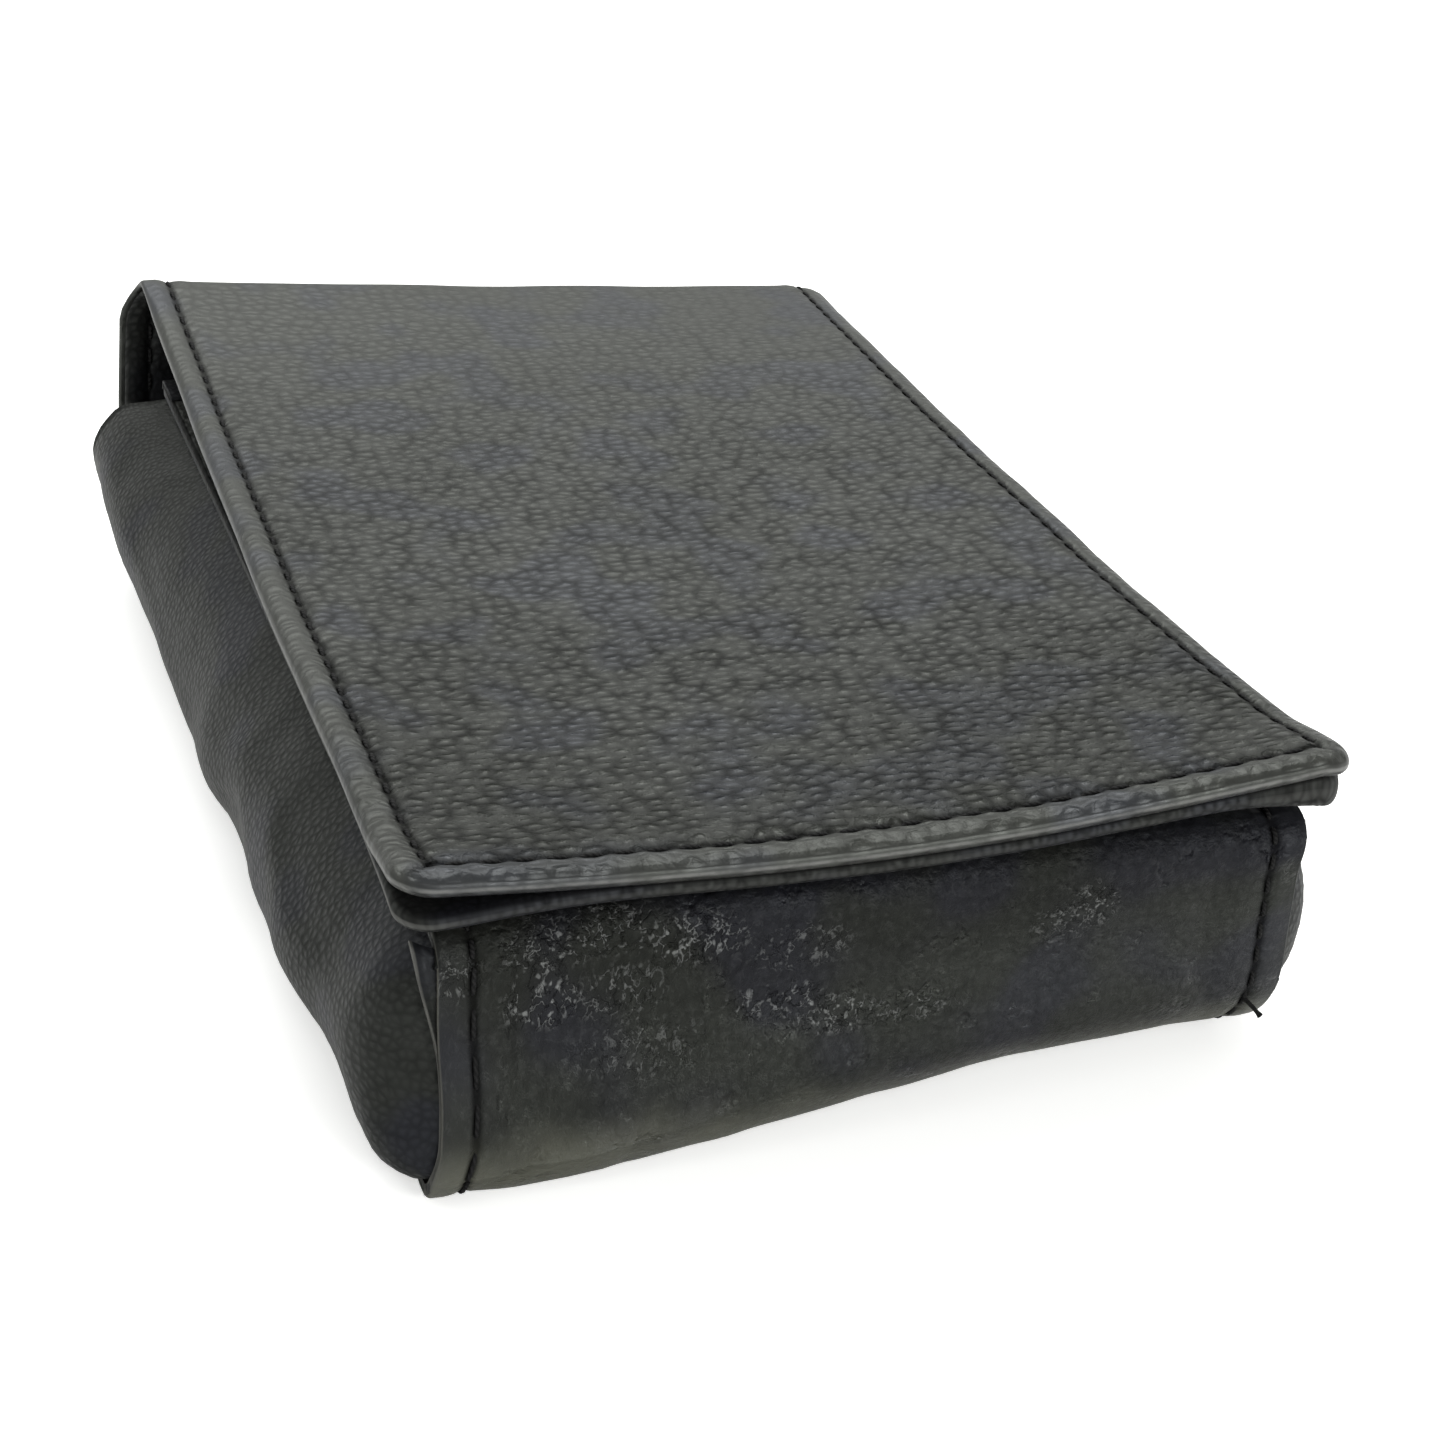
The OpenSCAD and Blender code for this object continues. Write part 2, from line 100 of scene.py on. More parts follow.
# ---------------------------------------------------------------- the strip
# One strip of hide runs from the mouth along the front panel, round the closed end,
# along the back, up the spine and over the cover. Pieces are laid out flat on it:
# x across, `along` its length, `lift` out of its outer face.


def strip_segments(foot):
    """Each segment: start y, z, end y, z, bend radius, start and end angle of the normal."""
    bend_y, foot_y = END_Y + END_TOP_R, END_Y + foot
    bend_z, front_z = POUCH_TOP - END_TOP_R, FLAP_TOP - FOLD_R
    return [
        (MOUTH_Y, POUCH_TOP, bend_y, POUCH_TOP, 0, 90, 90),
        (bend_y, bend_z, bend_y, bend_z, END_TOP_R, 90, 180),
        (END_Y, bend_z, END_Y, foot, 0, 180, 180),
        (foot_y, foot, foot_y, foot, foot, 180, 270),
        (foot_y, 0, FOLD_Y, 0, 0, 270, 270),
        (FOLD_Y, FOLD_R, FOLD_Y, FOLD_R, FOLD_R, 270, 360),
        (SPINE_Y, FOLD_R, SPINE_Y, front_z, 0, 0, 0),
        (FOLD_Y, front_z, FOLD_Y, front_z, FOLD_R, 0, 90),
        (FOLD_Y, FLAP_TOP, FLAP_EDGE_Y, FLAP_TOP, 0, 90, 90)]


STATIONS = [0.0]
for y0, z0, y1, z1, radius, a0, a1 in strip_segments(END_FOOT_R):
    length = math.hypot(y1 - y0, z1 - z0) + abs(math.radians(a1 - a0)) * radius
    STATIONS.append(STATIONS[-1] + length)
# where each stretch starts: upper bend, end wall, back, back fold, spine, front fold, flap
_, S_BEND, S_WALL, _, S_BACK, S_FOLD, S_SPINE, S_FRONT_FOLD, S_FLAP, S_EDGE = STATIONS
S_MID = (S_SPINE + S_FRONT_FOLD) / 2           # half way up the spine
S_FOLD_HIDE = S_FOLD - 30.5                    # where the pouch hide gives way to the fold's


def foot_radius(x):
    """Radius under the closed end: tucked in tight at the left, rounder to the right."""
    return FOOT_R_LEFT + (FOOT_R_RIGHT - FOOT_R_LEFT) * smooth((x + 46.0) / 72.0)


def strip(along, x=None):
    """y, z and the outward normal's y, z at each place on the strip."""
    foot = END_FOOT_R if x is None else foot_radius(x)
    segment = np.clip(np.searchsorted(STATIONS, along, side="right") - 1, 0, 8)
    out = np.zeros(along.shape + (4,))
    for i, (y0, z0, y1, z1, radius, a0, a1) in enumerate(strip_segments(foot)):
        t = (along - STATIONS[i]) / (STATIONS[i + 1] - STATIONS[i])
        angle = np.radians(a0 + (a1 - a0) * t)
        normal_y, normal_z = np.cos(angle), np.sin(angle)
        here = np.stack([y0 + (y1 - y0) * t + radius * normal_y,
                         z0 + (z1 - z0) * t + radius * normal_z, normal_y, normal_z], -1)
        out = np.where((segment == i)[..., None], here, out)
    return out


def lay(x, along, lift):
    """Points in space for places on the strip."""
    x, along, lift = np.broadcast_arrays(x, along, lift)
    y, z, normal_y, normal_z = np.moveaxis(strip(along, x), -1, 0)
    return np.stack([x, y + normal_y * lift, z + normal_z * lift], -1)


class Noise:
    """Smooth value noise in 2D with a fixed seed."""

    def __init__(self, seed):
        self.grid = np.random.RandomState(seed).rand(64, 64) * 2 - 1

    def __call__(self, x, y, size):
        x, y = x / size + 1000.0, y / size + 1000.0
        col, row = np.floor(x).astype(int), np.floor(y).astype(int)
        x, y = x - col, y - row
        x = x ** 3 * (x * (6 * x - 15) + 10)
        y = y ** 3 * (y * (6 * y - 15) + 10)

        def corner(i, j):
            return self.grid[(col + i) % 64, (row + j) % 64]

        return ((corner(0, 0) * (1 - x) + corner(1, 0) * x) * (1 - y)
                + (corner(0, 1) * (1 - x) + corner(1, 1) * x) * y)


BROAD, MEDIUM, FINE = Noise(11), Noise(23), Noise(37)

# ---------------------------------------------------------------- how the case has settled
# Offsets of the cover at stations of y. Rows: left edge, middle, right edge.
COVER_Y = np.array([-95.0, -72.0, -44.0, -14.0, 13.0, 40.0, 66.0, 92.0])
COVER_DX = np.array([[-1.1, -0.7, -0.2, 0.1, 0.8, 1.4, 1.9, 1.7],
                     [2.0, 1.8, 1.2, 1.0, 0.9, 0.9, 1.0, 1.2],
                     [4.6, 4.3, 3.0, 2.4, 1.9, 1.9, 2.1, 2.8]])
COVER_DY = np.array([[0.6, 0.0, 0.0, 0.0, 0.0, 0.0, 0.4, 2.4],
                     [-0.9, 0.0, 0.0, 0.0, 0.0, 0.0, 0.0, 0.0],
                     [0.6, 0.0, 0.0, 0.0, 0.0, -0.4, -1.0, -2.2]])
COVER_DZ = np.array([[1.0, 0.9, 0.7, 0.3, 0.6, 0.9, 2.5, 6.2],
                     [0.9, 0.5, -0.5, -1.0, -1.0, -0.6, 0.3, 2.0],
                     [1.5, 1.4, 1.2, 0.7, 0.4, 0.0, -0.4, -1.2]])


def through_stations(values, y):
    """Smooth curve through one row of offsets, without overshoot."""
    y = np.clip(y, COVER_Y[0], COVER_Y[-1])
    k = np.clip(np.searchsorted(COVER_Y, y, side="right") - 1, 0, len(COVER_Y) - 2)
    steps = np.diff(values) / np.diff(COVER_Y)
    slope = np.zeros(len(COVER_Y))
    for i, (before, after) in enumerate(zip(steps, steps[1:]), 1):
        if before * after > 0:
            slope[i] = 2 * before * after / (before + after)
    slope[0], slope[-1] = steps[0], steps[-1]
    gap = COVER_Y[k + 1] - COVER_Y[k]
    t = (y - COVER_Y[k]) / gap
    return ((2 * t ** 3 - 3 * t ** 2 + 1) * values[k]
            + (t ** 3 - 2 * t ** 2 + t) * gap * slope[k]
            + (-2 * t ** 3 + 3 * t ** 2) * values[k + 1]
            + (t ** 3 - t ** 2) * gap * slope[k + 1])


def cover_offset(table, x, y):
    side = np.clip(x / FLAP_HALF, -1.05, 1.05)
    left, middle, right = (through_stations(row, y) for row in table)
    return (left * side * (side - 1) / 2 + middle * (1 - side * side)
            + right * side * (side + 1) / 2)


def settle_cover(points):
    """The cover, folds and spine as they have settled."""
    x, y, z = np.moveaxis(points, -1, 0)
    side = x / FLAP_HALF
    free = smooth((z - 3.0) / 35.0)
    flat = smooth((z - 34.0) / 3.0)
    out = points.copy()
    for axis, table in enumerate((COVER_DX, COVER_DY, COVER_DZ)):
        out[..., axis] += cover_offset(table, x, y) * free
    # the spine bows out a little and spreads at its left edge
    spine = smooth((y - 89.0) / 4.0)
    bow = np.sin(np.pi * np.clip((z - 2) / 39.0, 0, 1))
    out[..., 1] += 2.2 * spine * bow ** 1.3 * (1 - 0.25 * side)
    middle = smooth((z - 6) / 14.0) * (1 - smooth((z - 35.0) / 8.0))
    out[..., 0] -= 3.2 * spine * np.clip(-side, 0, 1) ** 2 * middle
    # both corners of the free edge have lifted
    near = smooth((-76.0 - y) / 17.0) * flat
    curl = np.clip(np.abs(side), 0, 1.1) ** 1.8
    out[..., 2] += 1.9 * near * curl
    out[..., 1] += 0.8 * near * curl
    # the right-hand hem rolls away downwards
    roll = np.clip((x - (FLAP_HALF - 5.2)) / 5.2, 0, 1.1) ** 1.15
    out[..., 2] -= 1.7 * roll * flat
    out[..., 0] -= 0.25 * roll * flat
    # soft waves over the face, except round a still place near the free edge
    waves = 1 - bell(np.hypot(x, y - (FLAP_EDGE_Y + 23)), 16)
    out[..., 2] += flat * waves * (0.32 * BROAD(x, y, 34) + 0.16 * MEDIUM(x, y, 15))
    # the right-hand free corner has worked loose into an ear
    ear = bell(np.hypot(x - FLAP_HALF, y - (FLAP_EDGE_Y + 9)), 11)
    out[..., 0] += 1.5 * ear * flat
    return out


def settle_lining(points):
    """As the cover, but hanging free at the left corner and fuller at the right."""
    x, y, z = np.moveaxis(points, -1, 0)
    out = settle_cover(points)
    flat = smooth((z - 34.0) / 3.0)
    hang = bell(np.hypot((x + FLAP_HALF) * 0.8, y - FLAP_EDGE_Y), 12) * flat
    out[..., 2] -= 3.1 * hang
    out[..., 0] -= 0.2 * hang
    under = np.clip((FLAP_TOP - 2.5 - z) / 2.0, 0, 1.2) * flat
    full = bell(np.hypot((x - FLAP_HALF) * 0.9, (y - FLAP_EDGE_Y) * 0.8), 10)
    out[..., 2] -= 2.7 * full * under
    return out


def settle_pouch(points):
    """The pouch leans a touch to the right at its closed end, its foot pushed outwards."""
    x, y, z = np.moveaxis(points, -1, 0)
    out = points.copy()
    out[..., 0] += 1.9 * smooth((-62.0 - y) / 26.0)
    left = smooth((-x - 38.0) / 16.0) * smooth((-80.0 - y) / 8.0)
    out[..., 0] += left * (-1.4 * (1 - smooth(z / 8.0)) + 0.4 * bell(z - 15.0, 7))
    push = 1.9 - 1.5 * smooth((x - 5) / 40.0)
    out[..., 1] -= push * smooth((-72.0 - y) / 20.0) * (1 - smooth((z - 7.0) / 15.0))
    right = smooth((x - 46.0) / 13.0) * smooth((-78.0 - y) / 9.0)
    out[..., 0] += 1.3 * right * smooth((z - 28.0) / 9.0)
    return out


# ---------------------------------------------------------------- mesh helpers


def make(name, points, faces, attributes=None):
    """A smooth-shaded object from points in millimetres, with point attributes."""
    mesh = bpy.data.meshes.new(name)
    mesh.from_pydata((np.asarray(points) * 0.001).tolist(), [],
                     [tuple(int(i) for i in face) for face in faces])
    mesh.update()
    for key, values in (attributes or {}).items():
        values = np.asarray(values, np.float32)
        kind, field = ("FLOAT_VECTOR", "vector") if values.ndim == 2 else ("FLOAT", "value")
        mesh.attributes.new(key, kind, "POINT").data.foreach_set(field, values.ravel())
    mesh.polygons.foreach_set("use_smooth", [True] * len(mesh.polygons))
    ob = bpy.data.objects.new(name, mesh)
    bpy.context.scene.collection.objects.link(ob)
    return ob


def grid_faces(rows, cols, offset=0, flip=False):
    i, j = np.meshgrid(np.arange(rows - 1), np.arange(cols - 1), indexing="ij")
    a = (offset + i * cols + j).ravel()
    quads = np.stack([a, a + 1, a + cols + 1, a + cols], -1)
    return quads[:, ::-1] if flip else quads


def tube_faces(rings, size, start=0):
    """Faces of a capped tube whose rings of `size` points follow one another."""
    faces = []
    for i in range(rings - 1):
        a = start + i * size
        for j in range(size):
            k = (j + 1) % size
            faces.append((a + j, a + k, a + size + k, a + size + j))
    last = start + (rings - 1) * size
    faces.append(tuple(range(start, start + size))[::-1])
    faces.append(tuple(range(last, last + size)))
    return faces


def pair(first, second):
    return np.concatenate([first.ravel(), second.ravel()])


def at(value, along):
    """A size that is either constant or a function of the place along the strip."""
    return value(along) if callable(value) else value


def spread(start, end, count):
    """Even steps from start, stopping one short of end."""
    return np.linspace(start, end, count, endpoint=False)


def up_to(edge, marks):
    """Rows closing in on an edge."""
    return [edge - m for m in marks[::-1]]


def column_places(marks, half_width, step):
    """Columns across a width: at the inset marks near both edges, then even."""
    inner = half_width - marks[-1]
    count = max(2, int(round(2 * inner / step)))
    left = [-(half_width - m) for m in marks[:-1]]
    return np.array(left + list(np.linspace(-inner, inner, count + 1)) + [-v for v in left[::-1]])


EDGE_BAND = 9.0          # columns this near a side keep their distance from it


def plate(name, columns, rows, half_width, thickness, face, settle, reference=FLAP_HALF,
          corner=0.0, end_edge=None, start_edge=None, relief=None, inner_face=None,
          stitch_inset=COVER_INSET):
    """A sheet on the strip, its outer skin at lift `face`. Columns are x for a half width
    of `reference`. The sides are rounded free edges, as are end_edge and start_edge."""
    column, row = np.meshgrid(columns, rows)
    width = at(half_width, row)
    from_side = reference - np.abs(column)
    x = np.where(from_side < EDGE_BAND, np.sign(column) * (width - from_side),
                 column * (width - EDGE_BAND) / (reference - EDGE_BAND))
    along = run = row                    # run: distance along the nearest edge
    inset = to_edge = width - np.abs(x)  # to_edge ignores the rounding of corners
    if end_edge is not None:
        to_end = end_edge - along
        run = np.where(to_end < to_edge, x, along)
        inset = to_edge = np.minimum(to_edge, to_end)
        p = (np.abs(x) - (width - corner)) / corner
        q = (along - (end_edge - corner)) / corner
        in_corner = (p > 0) & (q > 0)
        p, q = (p * np.sqrt(1 - np.clip(q, 0, 1) ** 2 / 2),
                q * np.sqrt(1 - np.clip(p, 0, 1) ** 2 / 2))
        x = np.where(in_corner, np.sign(x) * (width - corner + corner * p), x)
        along = np.where(in_corner, end_edge - corner + corner * q, along)
        inset = np.where(in_corner, corner * (1 - np.hypot(p, q)), inset)
    if start_edge is not None:
        inset = np.minimum(inset, row - start_edge)
    inset = np.clip(inset, 0, None)

    thick = at(thickness, row)
    half = thick / 2
    rounding = half - np.sqrt(np.clip(half * half - (half - inset) ** 2, 0, None))
    drop = np.where(inset < half, rounding, 0.0)
    outer = at(face, row) - drop
    inner = at(face, row) - thick + drop
    if inner_face is not None:
        inner = np.where(inset < half, inner, inner_face(row, inset, inner))
    if relief is not None:
        outer = outer + relief(x, along, to_edge, run, row) * smooth(inset / 0.8)
    points = np.concatenate([settle(lay(x, along, lift)).reshape(-1, 3)
                             for lift in (outer, inner)])

    # weld the two skins along rounded edges, and wall the plain ends
    count = x.size
    index = np.arange(count).reshape(x.shape)
    first, last = index[0], index[-1]
    faces = [grid_faces(*x.shape), grid_faces(*x.shape, count, True)]
    welded = [index[:, 0], index[:, -1]]
    if end_edge is not None:
        welded.append(last)
    else:
        faces.append(np.stack([last[:-1], last[1:], count + last[1:], count + last[:-1]], -1))
    if start_edge is not None:
        welded.append(first)
    else:
        faces.append(np.stack([first[:-1], count + first[:-1], count + first[1:], first[1:]], -1))
    weld = np.arange(2 * count)
    for edge in welded:
        weld[count + edge] = edge
    faces = weld[np.concatenate(faces)]
    used = np.unique(faces)
    polygons = []
    for quad in np.searchsorted(used, faces):
        ring = [v for v, after in zip(quad, [*quad[1:], quad[0]]) if v != after]
        if len(ring) >= 3:
            polygons.append(ring)

    coords = np.stack([pair(x, x), pair(along + outer, along + inner), pair(outer, inner)], -1)
    to_stitch = to_edge - stitch_inset
    seam = np.stack([pair(run, run), pair(to_stitch, to_stitch),
                     pair(np.ones(count), np.zeros(count))], -1)
    rim = np.clip(1 - inset / 0.7, 0, 1)
    return make(name, points[used], polygons,
                {"lco": coords[used], "seam": seam[used], "rim": pair(rim, rim)[used]})


# ---------------------------------------------------------------- outer hide


def hide_half(along):
    """Half width of the outer hide: the pouch's, widening up the spine to the flap's."""
    widening = smooth((along - S_FOLD) / (S_SPINE + 12 - S_FOLD))
    return POUCH_HALF + (FLAP_HALF - POUCH_HALF) * widening


def cover_thickness(along):
    """Single hide on the spine; board and hem as well on the flap."""
    return HIDE + 1.5 * smooth((along - (S_FLAP - 1.0)) / 13.0)


SIDE_RUN_END = S_EDGE - COVER_INSET - 1.2      # last stitches along the flap's sides
EDGE_STITCHES = int((2 * (FLAP_HALF - COVER_INSET) - 2.4) / PITCH)
SIDE_RUN_MIN = 80.0                            # larger runs are on a side, smaller on the free edge
SIDE_STITCH = SIDE_RUN_END - 0.5 * PITCH       # middle of a stitch on the sides
EDGE_SHIFT = 0.0 if EDGE_STITCHES % 2 else 0.5 * PITCH


def stitch_pull(run):
    """1 in the middle of each stitch of the cover, 0 between two."""
    turns = np.where(run > SIDE_RUN_MIN, (run - SIDE_STITCH) / PITCH, (run + EDGE_SHIFT) / PITCH)
    return 0.5 + 0.5 * np.cos(2 * np.pi * turns)


def cover_relief(x, along, inset, run, row):
    """Welt, stitch groove and puckers beside the cover's edges."""
    hem = smooth((row - S_FLAP + 4.0) / 8.0)     # thick turned edge only on the flap
    pull = stitch_pull(run)
    welt = 0.30 * bell(inset - 2.4, 1.25) * (0.35 + 0.65 * hem)
    groove = (-(0.22 + 0.34 * pull) * bell(inset - COVER_INSET, 0.50)
              - (0.08 + 0.10 * pull) * bell(inset - 4.7, 1.6))
    shoulder = 0.12 * bell(inset - 6.6, 1.0)
    pull = pull * np.where(run > SIDE_RUN_MIN, 0.4, 1.0)     # the sides are pulled less
    pucker = -0.12 * pull * bell(inset - 3.3, 1.0) - 0.07 * pull * bell(inset - 5.9, 0.9)
    wobble = (0.15 * MEDIUM(x * 1.3, along, 6.0) * bell(inset - 2.6, 2.2)
              + 0.06 * FINE(x * 1.2, along, 2.6) * bell(inset - 2.2, 2.0))
    return welt + groove + shoulder + pucker + wobble


def seam_relief(inset):
    return (-0.38 * bell(inset - SEAM_INSET, 0.45) - 0.15 * bell(inset - SEAM_INSET, 1.5)
            + 0.10 * bell(inset - 2.2, 1.3))


def fold_relief(x, along, inset, run, row):
    cover = smooth((row - S_SPINE) / 10.0)
    return seam_relief(inset) * (1 - cover) + cover_relief(x, along, inset, run, row) * cover


def cover_inner_face(row, inset, inner):
    """Behind the turned hem the upper layer is single hide."""
    field = smooth((inset - 8.0) / 0.6)
    return inner * (1 - field) - HIDE * field


# drawn creases of the closed end: x, z, direction, width, depth, length
CREASES = ((-44, 15, 38, 1.1, -0.75, 12), (-38, 20, 118, 1.0, -0.6, 11),
           (-30, 16, 62, 1.2, -0.5, 12), (-20, 25, 150, 1.3, -0.45, 13),
           (-46, 27, 96, 1.0, -0.5, 8), (6, 24, 168, 1.8, -0.35, 18),
           (44, 22, 88, 1.2, -0.55, 16), (28, 28, 20, 1.6, -0.3, 12))


def pouch_relief(x, along, inset, run, row):
    """Seam grooves, dents and creases of the closed end, and soft waves on the back."""
    end = smooth((row - (S_BEND + 2)) / 7.0) * (1 - smooth((row - (S_BACK - 4)) / 16.0))
    inside = smooth((inset - 5.2) / 5.0)
    z = strip(row)[..., 1]
    left = bell(x + 38, 17) * bell(z - 21, 12)
    dents = 0.75 * BROAD(x, z * 1.2, 26) + 0.40 * MEDIUM(x + 0.6 * z, z, 11)
    fine = 0.16 * FINE(x, z, 5.0)
    creases = 0
    for crease_x, crease_z, direction, width, depth, length in CREASES:
        cos, sin = math.cos(math.radians(direction)), math.sin(math.radians(direction))
        forward = (x - crease_x) * cos + (z - crease_z) * sin
        aside = -(x - crease_x) * sin + (z - crease_z) * cos
        aside = aside + 0.05 * forward * forward / 3
        section = bell(aside, width) - 0.45 * bell(aside - 2.2, 1.6)
        creases = creases + depth * bell(forward, length) * section
    sag = -0.9 * bell(z - 24, 9) * (1 - (x / POUCH_HALF) ** 2)
    crumple = end * inside * (dents * (0.55 + 0.8 * left) + fine + creases + sag)
    back = smooth((row - S_BACK - 6) / 12) * smooth((inset - 6) / 6)
    return seam_relief(inset) + crumple + back * 0.12 * (BROAD(x, along, 30) - 0.3)


# distances from a free edge at which the meshes have columns and rows
COVER_MARKS = [0, 0.06, 0.22, 0.5, 0.85, 1.25, 1.8, 2.5, 3.2, 3.75, 4.1, 4.45, 4.8, 5.2, 5.8,
               6.7, 7.7, 8.7]
POUCH_MARKS = [0, 0.05, 0.18, 0.38, 0.62, 1.1, 1.8, 2.6, 3.3, 3.9, 4.3, 4.7, 5.3, 6.2, 7.4, 8.7]
LINING_MARKS = [0, 0.06, 0.2, 0.4, 0.62, 1.1, 1.7, 2.4, 3.0, 3.4, 3.7, 4.0, 4.4, 5.0, 5.9,
                7.0, 8.2]
CARD_MARKS = [0, 0.08, 0.25, 0.42, 1.5, 4.0]
END_ROWS = (S_BEND - 6, S_BACK + 16)           # stretch of closer rows round the closed end

cover_columns = column_places(COVER_MARKS, FLAP_HALF, step=0.95)
cover_hide = plate(
    "cover_hide", cover_columns,
    np.concatenate([spread(S_MID, S_FRONT_FOLD, 10), spread(S_FRONT_FOLD, S_FLAP, 11),
                    spread(S_FLAP, S_EDGE - COVER_MARKS[-1], 176), up_to(S_EDGE, COVER_MARKS)]),
    hide_half, cover_thickness, 0.0, settle_cover, corner=5.0, end_edge=S_EDGE,
    relief=cover_relief, inner_face=cover_inner_face)

fold_hide = plate(
    "back_fold_hide", cover_columns,
    np.concatenate([spread(S_FOLD_HIDE, S_FOLD, 16), spread(S_FOLD, S_SPINE, 11),
                    np.linspace(S_SPINE, S_MID, 11)]),
    hide_half, HIDE, 0.0, settle_cover, relief=fold_relief)

pouch_hide = plate(
    "pouch_hide", column_places(POUCH_MARKS, POUCH_HALF, step=1.5),
    np.concatenate([[0, 0.05, 0.18, 0.38, 0.62, 1.4], spread(3.0, END_ROWS[0], 52),
                    spread(*END_ROWS, 70), np.linspace(END_ROWS[1], S_FOLD_HIDE, 44)]),
    POUCH_HALF, HIDE, 0.0, settle_pouch, reference=POUCH_HALF, start_edge=0.0,
    relief=pouch_relief, stitch_inset=SEAM_INSET)

# ---------------------------------------------------------------- linings and card

LINING = 1.15                                  # lining leather on the cover
FOLD_LINING = 0.95                             # the same inside the mouth
SUEDE = 0.8                                    # pouch lining
GLUE, BOARD = 0.05, 1.1                        # glue line and stiffening board
LINING_EDGE = S_EDGE - 0.8
LINING_LAP = S_FOLD - 17                       # where the fold's lining starts inside the mouth


def lining_half(along):
    narrow = LINING_HALF + 0.6
    widening = smooth((along - S_FOLD - 2) / (S_SPINE + 12 - S_FOLD))
    return narrow + (FLAP_LINING_HALF - narrow) * widening


def lining_face(along):
    """The lining's hidden face, just under the cover's upper layer."""
    return -(cover_thickness(along) + 0.04)


def lining_thickness(along):
    """The lining is turned over at the flap's edges."""
    return LINING + 0.95 * smooth((along - S_FLAP - 6.0) / 16.0)


def lining_inner_face(along, inset, inner):
    """The lining's showing face, with its own groove."""
    inner = inner + (lining_thickness(along) - LINING) * smooth((inset - 5.2) / 0.9)
    puff = (-0.16 * bell(inset - 1.9, 1.1) + 0.36 * bell(inset - LINING_INSET, 0.5)
            + 0.12 * bell(inset - 3.9, 1.4))
    return inner + puff * smooth(inset / 0.8)


def fold_lining_face(along):
    """Lies over the pouch lining inside the mouth, then drops behind the hide."""
    return -(HIDE + GLUE) - 2.3 * (1 - smooth((along - (S_FOLD - 3.0)) / 5.0))


def fold_lining_thickness(along):
    return FOLD_LINING + (LINING - FOLD_LINING) * smooth((along - S_FOLD - 4) / 8)


lining_columns = column_places(LINING_MARKS, FLAP_LINING_HALF, step=2.6)
cover_lining = plate(
    "cover_lining", lining_columns,
    np.concatenate([spread(S_MID, S_FRONT_FOLD, 9), spread(S_FRONT_FOLD, S_FLAP, 10),
                    spread(S_FLAP, LINING_EDGE - LINING_MARKS[-1], 66),
                    up_to(LINING_EDGE, LINING_MARKS)]),
    lining_half, lining_thickness, lining_face, settle_lining, reference=FLAP_LINING_HALF,
    corner=4.4, end_edge=LINING_EDGE, inner_face=lining_inner_face)

fold_lining = plate(
    "back_fold_lining_strip", lining_columns,
    np.concatenate([[LINING_LAP + m for m in (0, 0.06, 0.2, 0.5, 1.2)],
                    spread(S_FOLD - 14, S_FOLD, 9), spread(S_FOLD, S_SPINE, 10),
                    np.linspace(S_SPINE, S_MID, 9)]),
    lining_half, fold_lining_thickness, fold_lining_face, settle_cover,
    reference=FLAP_LINING_HALF, start_edge=LINING_LAP)

pouch_lining = plate(
    "pouch_lining_suede", column_places([0, 0.05, 0.18, 0.4, 1.2, 3.0], LINING_HALF, step=3.0),
    np.concatenate([[0.3, 0.35, 0.5, 0.7, 1.4], spread(3.0, END_ROWS[0], 36),
                    spread(*END_ROWS, 44), np.linspace(END_ROWS[1], S_FOLD - 1.2, 40)]),
    LINING_HALF, SUEDE, -(HIDE + BOARD + 3 * GLUE), settle_pouch,
    reference=LINING_HALF, start_edge=0.3)

# the card stays inside the flap's turned hem
CARD_HALF, CARD_START, CARD_END = FLAP_HALF - 8.9, S_FLAP + 14, S_EDGE - 8.9
flap_card = plate(
    "flap_card", column_places(CARD_MARKS, CARD_HALF, step=4.0),
    np.concatenate([[CARD_START + m for m in (0, 0.08, 0.25, 0.42, 2.0)],
                    spread(S_FLAP + 18, CARD_END - 4, 40), up_to(CARD_END, CARD_MARKS)]),
    CARD_HALF, 0.84, -(HIDE + 0.15), settle_cover, reference=CARD_HALF,
    corner=3.0, end_edge=CARD_END, start_edge=CARD_START)

# ---------------------------------------------------------------- gussets

FIT = HIDE + 0.03                              # hide and clearance inside the wrap
WEB_X = POUCH_HALF - 5.0                       # where the web springs from
GUSSET_Y = END_Y + FIT
GUSSET_TOP_R = END_TOP_R - FIT
GUSSET_LOW, GUSSET_HIGH = FIT, POUCH_TOP - FIT
GUSSET_TIP = FOLD_Y - 2.0
WEB_STEPS = 34
FLANGE = np.array([0.0, 1.6, 3.3])             # flange columns, from its edge inwards
END_FLANGE = np.array([0.0, 1.1, 2.2, 3.3, 4.4])[:, None]     # and rows at the closed end
WEB = np.s_[len(END_FLANGE):, len(FLANGE):-len(FLANGE)]       # the sheet without flanges
# extra fullness of the left web at stations of y
LEFT_Y = (-95, -91, -87, -83, -79, -75, -71, -64, -57, -50, -43, -27, -20, -4, 10)
LEFT_FULL = (0, 0.9, 1.4, 1.2, 0.6, -0.3, -1.0, -0.9, -0.4, -0.2, 0, -0.25, -0.15, 0.7, 0)
# how far the rows beside the closed end have sprung open, as shares of the most
SPRUNG = [1, 0.86, 0.68, 0.48, 0.30, 0.20, 0.12, 0.06, 0.02]


def rounded(reach, radius):
    """How far a quarter round has curved away at `reach` past its start."""
    return radius - np.sqrt(radius ** 2 - np.clip(reach, 0, radius) ** 2)


def swell(t):
    t = np.clip(t, 0, 1)
    return (1 - (1 - t) ** 2.6) ** (1 / 2.6)


